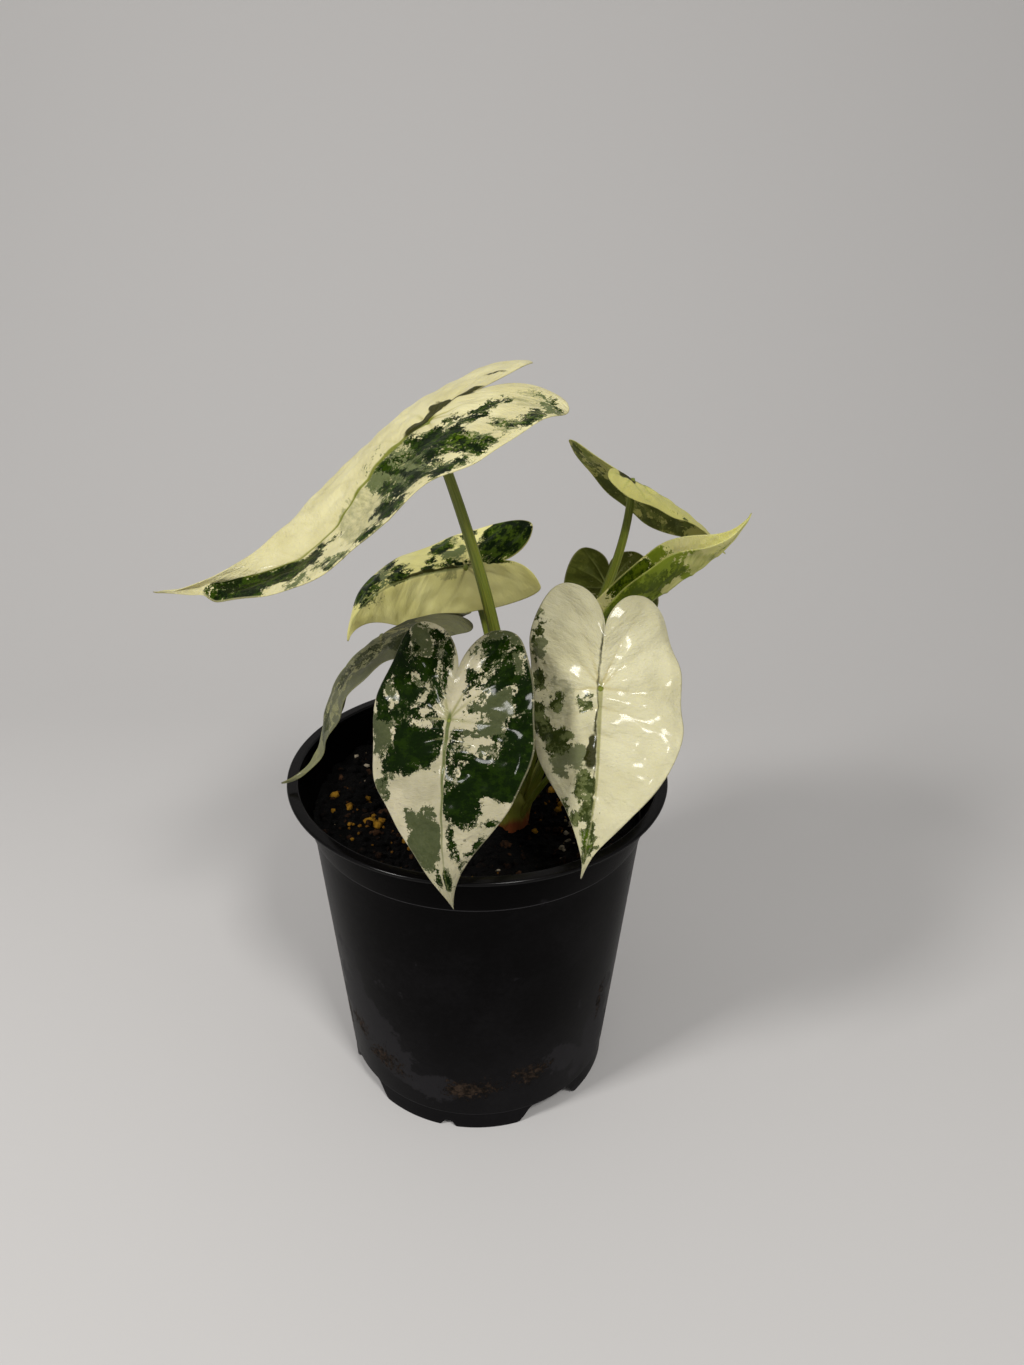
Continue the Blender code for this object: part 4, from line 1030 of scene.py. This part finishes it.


# Each blade's own values. Its patches, swells and bright spots are in
# millimetres on the flat blade, and its skin holds its own tints. Patches of
# the last kind are painted shade, dark in folds and gaps.
LEAVES = {
    "leaf_tall_left": dict(
        junction=(-0.0157, -0.0264, 0.3080), length=0.118, lobe=0.0462, sinus=0.0192, half_width=0.0442,
        widest_at=0.0173, lobe_offset=0.024, blunt_left=0.100, wider_right=0.93, wider_left=1.10,
        wave=0.034, wave_height=0.0008, wide_midrib=1.7, sway=(0.001, 0.0015, 0.0048, 0.0010, 0.0070, 0.0),
        heading=(194, 200, 204, 193, 198), rise=(-6, -34, -50, -18, 10), roll=(14, 9, -1, -1, 8),
        swells=((24, -13, 20, 7, -2.0), (-2, -21, 12, 8, 1.5), (-8, -8, 14, 5, 0.8),
            (-4, 4, 12, 3.2, -0.7), (84, -5, 14, 3.5, -1.2), (45, 20, 16, 8, 1.2)),
        fold_right=(-9, -4, 9, 28, 42), fold_left=(-11, 0, 2, -2, -5), curl_right=(-18, -25, -12),
        curl_left=(26, 12, 13), brights=((-18, -34, 24, 11, 1.0), (-2, -28, 12, 9, 0.5),
            (88, -6, 9, 5, 0.7), (68, -20, 5, 6, 0.5)),
        skin=dict(ragged=1.6, flecks=0.22, Cream=rgb(0.59, 0.55, 0.32), Cream_Shade=rgb(0.49, 0.45, 0.24),
            Midrib_Tint=rgb(0.13, 0.15, 0.008), Light_Green=rgb(0.020, 0.042, 0.001)),
        patches=(
            # Painted shade: the first run darkens the fold between the lobes at the sinus.
            ("crease", (0, 3.0, 9.5, 2.3, -18), (-12.5, 3.2, 7.5, 1.8, 34), (-19, 1.5, 5, 1.1, 25),
            (-30, 9, 6, 0.7, 35)), ("mist", (39, -17, 10, 18), (18, -4, 7, 4), (-34, -20, 5, 7)),
            ("dark", (85, -5.5, 18, 5.8), (80, -9, 12, 9), (71, -10, 8, 10), (61, -9, 4, 6, 15),
            (55, -5, 5, 2, 25)), ("cream", (77, -20, 3.5, 5, -20)), ("grey", (67, -21, 3, 5),
            (54, -32, 2.6, 12, -31)), ("dark", (56, -31, 1.4, 9, -31), (42, -39, 3.5, 7, -20),
            (30, -37, 6.5, 10)), ("grey", (20, -20, 10, 19.5, -6)), ("dark", (21, -20, 8.5, 19.5, -6)),
            ("grey", (16, -18, 1.2, 14, -8), (23, -17, 1.0, 12, -8), (28, -6, 3, 6), (12, -9, 2, 5)),
            ("dark", (8, -43, 7, 5), (16, -36, 2, 8, -12), (9, -12, 3.2, 10.5), (0, -15, 9, 7)),
            ("grey", (-4, -14, 2.5, 3)), ("dark", (2, -28, 9.5, 10)), ("cream", (5, -36, 3, 4)),
            ("dark", (-6, -38, 6.5, 6)), ("cream", (-12, -27, 3.5, 8)), ("dark", (-12, -19, 5, 3),
            (-18, -32, 3, 8, -15), (-27, -36, 7, 5), (-31, -31, 3, 5), (-17, -14.5, 8, 2.2, -8),
            (-25, -16, 3, 2)), ("grey", (-38, -28, 2.5, 11)), ("dark", (-40.5, -30, 1.2, 9)),
        )),
    "leaf_middle_left": dict(
        junction=(-0.007, 0.034, 0.234), length=0.068, lobe=0.030, sinus=0.018, half_width=0.0268,
        widest_at=0.031, lobe_offset=0.0145, wider_right=1.08, wider_left=0.86, wave_height=0.0004,
        quilt=0.0003, brights=((-18, 14, 12, 12, 0.75), (44, 8, 14, 14, 0.8), (6, 14, 10, 12, 0.5)),
        heading=(160, 170, 182, 194, 204), rise=(-20, -13, -17, -39, -84), roll=(34, 25, 15, 10, 0),
        fold_right=(8, 4, -4), fold_left=(-56, -66, -76), curl_right=(-16, -22, -26),
        curl_left=(-12, -10, -4),
        skin=dict(ragged=1.5, flecks=0.2, relief=0.35, Light_Green=rgb(0.040, 0.070, 0.004),
            Cream=rgb(0.70, 0.66, 0.29), Cream_Shade=rgb(0.60, 0.56, 0.21), Under_Tint=rgb(0.36, 0.33, 0.10)),
        patches=(
            ("mist", (8, 12, 8, 14), (38, 12, 8, 12)), ("dark", (-18, 13, 13, 14)),
            ("cream", (-4, 18, 2, 6)), ("grey", (7, 9, 5, 5)), ("dark", (12, 19, 5, 7), (4, 3, 8, 2),
            (17, 2, 3, 2.5), (16, 8, 2.5, 2.5), (2, 22, 4, 4), (30, 6, 6, 7)), ("grey", (38, 10, 4, 9)),
            ("dark", (46, 12, 8, 13), (34, 20, 3, 6)), ("cream", (22, 16, 4, 11, 8)),
            ("crease", (15, 0.6, 22, 0.7)),
        )),
    "leaf_front_dark": dict(
        junction=(-0.008, -0.057, 0.208), length=0.069, lobe=0.035, tip_width=0.17, sinus=0.019,
        half_width=0.034, widest_at=0.008, lobe_offset=0.017, quilt=0.0010, wide_midrib=0.8,
        heading=(-108, -102, -92, -82, -52), rise=(-55, -53, -58, -64, -54), roll=(-2, -3, -10, -14, -14),
        fold_right=(-2, -8, -14), fold_left=(10, 8, 3), curl_right=(-22, -16, -14), curl_left=(2, 4, 3),
        skin=dict(ragged=1.3, flecks=0.27, Light_Green=rgb(0.0075, 0.019, 0.0003),
            Cream=rgb(0.46, 0.42, 0.29), Cream_Shade=rgb(0.31, 0.29, 0.19),
            Grey_Green=rgb(0.070, 0.080, 0.036), Midrib_Tint=rgb(0.085, 0.105, 0.026),
            Vein_Tint=rgb(0.26, 0.25, 0.12)),
        patches=(
            ("grey", (44, 7, 10, 6.5), (36, 10, 4, 4), (25, 26, 6, 2.6, 40)), ("dark", (24, 25, 3, 1, 40),
            (8, 14, 12, 12.5), (16, 22, 4, 6)), ("grey", (5, 28, 9, 5.5)), ("dark", (-15, 18, 19, 16)),
            ("grey", (-8, 26, 4.5, 2.5, -30), (-28, 17, 6.5, 5.5)), ("dark", (-31, 11, 3, 3),
            (-25, 19, 2, 2)), ("grey", (-20, 7, 9, 0.8, -8), (-13, 14, 1.2, 4, 30)),
            ("cream", (1.5, 11, 1.2, 5, 6), (-3, 8, 0.9, 3, -15), (-7, 12, 0.8, 3, -30),
            (-10, 1.8, 9, 2.4, 8)), ("dark", (15, -17, 14.5, 16.2), (29, -7.5, 9, 7), (8, -30, 16, 5.5),
            (-14, -27, 14, 7)), ("grey", (-4, -15, 11, 9.5), (-28, -16, 7, 11)),
            ("dark", (-22, -20, 9, 11), (-15, -10, 7, 4.5, 42), (-27, -13, 4, 4)),
            ("cream", (8, -14, 2.8, 5.5)), ("grey", (11, -16, 1.4, 4)), ("dark", (6, -19, 2, 2)),
            ("cream", (0.5, -6, 2.6, 5.5), (-6, -7.5, 7, 1.7, 42)), ("dark", (-3.5, -8.5, 1.6, 1.4)),
            ("cream", (-25, -6.5, 6.5, 1.8, 27)), ("grey", (-20, -14, 7, 0.9, 38)),
            ("cream", (-15, -11, 6, 0.5, 38)), ("grey", (-22, -26, 4, 2, -20)),
            ("cream", (12, -3.4, 3, 1.0, 25), (20, -4.5, 3, 0.7, 25)), ("dark", (45, -3.5, 6, 1.7, -10),
            (46, -12.5, 5, 1.8, 43), (37, -19, 3, 1.8, 43), (57, -5.5, 4, 1, 30), (58, -0.5, 4, 1.3),
            (57, 2.5, 3, 1.2)),
        )),
    "leaf_front_pale": dict(
        junction=(0.047, -0.049, 0.218), length=0.070, lobe=0.037, sinus=0.023, half_width=0.031,
        widest_at=0.011, lobe_offset=0.015, quilt=0.0009, wide_midrib=0.8,
        heading=(-100, -95, -92, -106, -120), rise=(-58, -56, -59, -61, -63), roll=(18, 0, -10, -9, -8),
        fold_right=(6, -16, -7), brights=((56, 1, 7, 4, 1.3), (40, 6, 8, 6, 0.5)), fold_left=(-10, -6, 3),
        curl_right=(-15, -24, -20), curl_left=(-20, -13, -10),
        skin=dict(freckles=0.8, ragged=1.2, gloss=0.26, Midrib_Tint=rgb(0.27, 0.26, 0.11),
            Vein_Tint=rgb(0.46, 0.41, 0.22), Cream=rgb(0.57, 0.54, 0.36), Cream_Shade=rgb(0.49, 0.46, 0.29),
            Grey_Green=rgb(0.150, 0.160, 0.085), Dark_Green=rgb(0.030, 0.042, 0.008),
            Light_Green=rgb(0.120, 0.138, 0.050)),
        patches=(
            ("mist", (33, 6, 6, 5), (4, 15, 7, 6)), ("grey", (26, 12, 5.5, 8.5)),
            ("dark", (20, 16.5, 4.6, 5.6), (15, 24, 4, 4.5), (8, 26, 4.5, 3.6), (5, 17, 2.5, 3),
            (5.5, 6.5, 3.2, 3.4)), ("cream", (4.5, 6.5, 0.9, 1.5)), ("dark", (-3.5, 25, 3.5, 2.5),
            (-11, 27, 2.5, 1.2)), ("grey", (-15, 24.5, 4, 3.2)), ("dark", (-20, 25.5, 5, 1.5, 10),
            (-24.5, 24.5, 2, 1.5), (36, 4.5, 4.4, 4.4), (45, 3, 5.5, 3), (49, 7, 3, 3),
            (44.5, 12.5, 1.5, 1.5), (55, 0, 6.5, 2.7), (61, 0.5, 3.5, 1.3)),
            ("crease", (12, 0.9, 26, 0.28), (-14, 0.6, 6, 0.3), (23, 3.0, 7, 2.4)),
        )),
    # This blade's cream and greens are dimmed and greyed, and grey covers most of it: its own grey-green,
    # with painted shade from the blade above and a painted sheen on its upper face, seen at a glancing angle.
    "leaf_low_left": dict(
        junction=(-0.039, -0.007, 0.219), length=0.081, lobe=0.039, sinus=0.016, half_width=0.0215,
        widest_at=0.014, lobe_offset=0.008, heading=(186, 196, 198, 198, 206), rise=(5, -28, -60, -76, -4),
        roll=(-4, -8, -10, -4, 10), fold_right=(-28, -28, -25), fold_left=(-18, -10, -6),
        curl_right=(-10, -10, -10), curl_left=(-10, -6, -2),
        skin=dict(ragged=1.5, Cream=rgb(0.24, 0.235, 0.12), Cream_Shade=rgb(0.18, 0.18, 0.09),
            Grey_Green=rgb(0.115, 0.118, 0.072), Dark_Green=rgb(0.030, 0.036, 0.014),
            Light_Green=rgb(0.060, 0.066, 0.030), Under_Tint=rgb(0.16, 0.15, 0.06)),
        patches=(
            ("grey", (0, 0, 42, 30), (38, 0, 30, 24)), ("dark", (14, -8, 12, 4), (30, 8, 10, 4),
            (-10, -14, 9, 5), (45, -6, 9, 3), (0, 14, 12, 4)), ("cream", (-30, -6, 12, 9)),
            ("mist", (-30, -6, 14, 12), (66, 0, 16, 10), (6, -4, 12, 2), (26, -12, 14, 2)),
            ("cream", (18, 2, 16, 0.8, 4), (4, -9, 10, 0.7, -5), (34, -5, 12, 0.7, 6)),
            ("dark", (12, 4, 16, 1.6, 5), (40, 2, 14, 1.5, -4)),
        )),
    "leaf_high_right": dict(
        junction=(0.061, 0.022, 0.277), length=0.052, lobe=0.028, sinus=0.0045, half_width=0.018,
        widest_at=0.014, lobe_offset=0.007, shorter_right_lobe=0.38, clear_veins=0.6,
        heading=(0, -2, -2, 1, 6), rise=(-46, -28, -32, -42, -50), roll=(-10, -3, 9, 14, 16),
        fold_right=(-5, -7, -15), fold_left=(-36, -46, -54), curl_right=(-6, -5, -5),
        curl_left=(-6, -5, -6),
        skin=dict(Cream=rgb(0.52, 0.49, 0.16), Cream_Shade=rgb(0.48, 0.46, 0.15),
            Dark_Green=rgb(0.018, 0.030, 0.004), Light_Green=rgb(0.090, 0.110, 0.020),
            Grey_Green=rgb(0.22, 0.25, 0.06), Under_Tint=rgb(0.42, 0.47, 0.15),
            Vein_Tint=rgb(0.36, 0.38, 0.10)),
        patches=(
            ("dark", (18, -14, 20, 8)), ("grey", (18, -11, 14, 1.4, -8), (8, -15, 5, 2, -20)),
            ("dark", (-13, -10, 4, 3.2), (-17, -7, 9, 1.0, 8), (-5, -14, 5, 3)), ("grey", (-20, -5, 6, 2)),
            ("cream", (-14, -9, 11, 0.7, 10), (16, -12, 16, 0.5, -6)), ("dark", (30, 16, 8, 2),
            (26, -5, 8, 2.5, 10)), ("crease", (-2.5, 0.5, 4.2, 3.6)), ("dark", (-22, -9, 3, 3)),
            ("grey", (-17, -13, 6, 1.2, 10)),
        )),
    "leaf_new_right": dict(
        junction=(0.052, -0.004, 0.218), length=0.076, lobe=0.014, sinus=0.008, half_width=0.017,
        widest_at=0.036, lobe_offset=0.006, wider_right=1.12, heading=(14, 10, 6, 2, -2),
        rise=(50, 46, 38, 38, 74), roll=(-10, -10, -10, -6, 0), fold_right=(40, 44, 42, 30),
        fold_left=(60, 62, 60, 46), curl_right=(40, 46, 40), curl_left=(20, 30, 30),
        skin=dict(ragged=1.7, Cream=rgb(0.66, 0.62, 0.31), Cream_Shade=rgb(0.56, 0.54, 0.20),
            Grey_Green=rgb(0.175, 0.230, 0.018), Light_Green=rgb(0.100, 0.140, 0.006),
            Dark_Green=rgb(0.024, 0.044, 0.002), Under_Tint=rgb(0.20, 0.24, 0.03), subsurface=0.45),
        patches=(
            ("grey", (26, 8, 24, 14)), ("dark", (18, 9, 14, 9), (35, 7, 5, 6)),
            ("grey", (24, 6, 1.5, 5, 25), (12, 11, 2, 4, -20)), ("dark", (40, 11, 3, 2, 25)),
            ("cream", (34, 2, 5, 3)), ("mist", (48, 6, 6, 10)), ("dark", (23, -14, 11, 4.5)),
            ("grey", (35, -14, 4, 4), (62, 9, 1.2, 6, -35)),
        )),
    "leaf_back": dict(
        junction=(0.0562, 0.0420, 0.2224), length=0.070, lobe=0.0196, sinus=0.0124, half_width=0.0205,
        widest_at=0.008, lobe_offset=0.0103, wider_right=1.1, clear_veins=0.9,
        heading=(76, 80, 84, 88, 90), rise=(-88, -66, -44, -36, -44), roll=(0, 0, 0, 0, 0),
        fold_right=(4, 4, 0), fold_left=(4, 4, 0), curl_right=(-10, -10, -10), curl_left=(-10, -10, -10),
        skin=dict(flecks=-0.3, Dark_Green=rgb(0.070, 0.086, 0.010), Light_Green=rgb(0.120, 0.140, 0.022),
            Grey_Green=rgb(0.125, 0.150, 0.030), Under_Tint=rgb(0.16, 0.18, 0.05),
            Vein_Tint=rgb(0.30, 0.33, 0.10)),
        patches=(
            ("dark", (10, 0, 60, 30)), ("grey", (-8, 9, 6, 2), (12, -8, 8, 2.5), (30, 8, 10, 4)),
        )),
}

stalk_grids = []
stalk_maps = []
for number, (name, leaf) in enumerate(LEAVES.items()):
    blade = make_blade(name + "_blade", leaf, blade_finish(name + "_skin", **leaf["skin"]), number)
    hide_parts(name)
    grid, skin = stalk(name, leaf["junction"])
    stalk_grids.append(grid)
    stalk_maps.append(skin.reshape(-1, 2))

stub = turned(rounded(STEM_OUTLINE, 0.002), np.linspace(0, 360, 61)) + np.array([*STEM_CENTRE, 0.0])
stalk_grids.append(stub)
around = np.broadcast_to(np.linspace(0, 3, stub.shape[1]), stub.shape[:2])
stalk_maps.append(np.stack([around, stub[..., 2] * 10], -1).reshape(-1, 2))
stalks = make_piece("stem_and_stalks", stalk_grids, stalk_finish(),
                    maps={"skin": np.concatenate(stalk_maps)})
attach(stalks, "root")
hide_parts("stem_and_petioles")


# The floor
# A seamless sweep of pale paper: level under the pot, then curved up into a
# wall behind it.
SWEEP_START = 0.32
SWEEP_RADIUS = 0.65
SWEEP_HALF_WIDTH = 2.6
SWEEP_FRONT = -2.4
SWEEP_TOP = 3.2

turn = np.linspace(0, np.pi / 2, 24)
sweep_y = [SWEEP_FRONT, *SWEEP_START + SWEEP_RADIUS * np.sin(turn), SWEEP_START + SWEEP_RADIUS]
sweep_z = [0.0, *SWEEP_RADIUS * (1 - np.cos(turn)), SWEEP_TOP]
sweep_points = np.array([[(x, y, z) for x in (-SWEEP_HALF_WIDTH, SWEEP_HALF_WIDTH)]
                         for y, z in zip(sweep_y, sweep_z)])
paper = new_material("paper_pale", Roughness=0.8, Base_Color=rgb(0.52, 0.51, 0.505))[0]
sweep = make_piece("floor_sweep", [sweep_points], paper)


# The light
# Two soft sources above, one from the left and a weaker one from the right,
# and pale light all round.
PLANT_MIDDLE = (0.0, 0.0, 0.17)
LIGHT_DISTANCE = 1.35
LIGHT_SIZE = 0.24


def aimed(place, ahead, right, up):
    """The world matrix of what looks ahead along its own -Z, at a place."""
    turned_to = np.stack([right, up, -ahead], -1)
    return Matrix([[*row, spot] for row, spot in zip(turned_to, place)] + [[0, 0, 0, 1]])


def soft_light(name, azimuth, elevation, power, colour):
    """A square area light aimed at the plant, from so far right of the viewer and so far up."""
    ahead, right, up = directions(90 + azimuth, -elevation, 0)
    lamp = bpy.data.lights.new(name, "AREA")
    lamp.size = LIGHT_SIZE
    lamp.energy = power
    lamp.color = colour
    holder = bpy.data.objects.new(name, lamp)
    bpy.context.scene.collection.objects.link(holder)
    holder.matrix_world = aimed(np.array(PLANT_MIDDLE) - LIGHT_DISTANCE * ahead, ahead, right, up)


soft_light("left_light", -52, 42, 11.0, (1.0, 0.985, 0.96))
soft_light("right_light", 24, 50, 9.0, (1.0, 0.985, 0.955))
world = bpy.data.worlds.new("soft_room")
world.use_nodes = True
background = world.node_tree.nodes["Background"].inputs
background["Color"].default_value = rgb(1.0, 0.99, 0.975)
background["Strength"].default_value = 0.40
bpy.context.scene.world = world
bpy.context.scene.view_settings.view_transform = "Standard"


# The camera
# It stands in front, a little above the leaves, and looks down on the plant
# through a slightly wide lens.
CAMERA_PLACE = (0.0165, -0.371, 0.380)
CAMERA_PITCH = 26.5
CAMERA_YAW = -0.36
CAMERA_ROLL = 0.89
CAMERA_LENS = 26.0

lens = bpy.data.cameras.new("camera")
lens.lens = CAMERA_LENS
lens.clip_start = 0.01
camera = bpy.data.objects.new("camera", lens)
bpy.context.scene.collection.objects.link(camera)
camera.matrix_world = aimed(CAMERA_PLACE, *directions(90 - CAMERA_YAW, -CAMERA_PITCH, CAMERA_ROLL))
bpy.context.scene.camera = camera
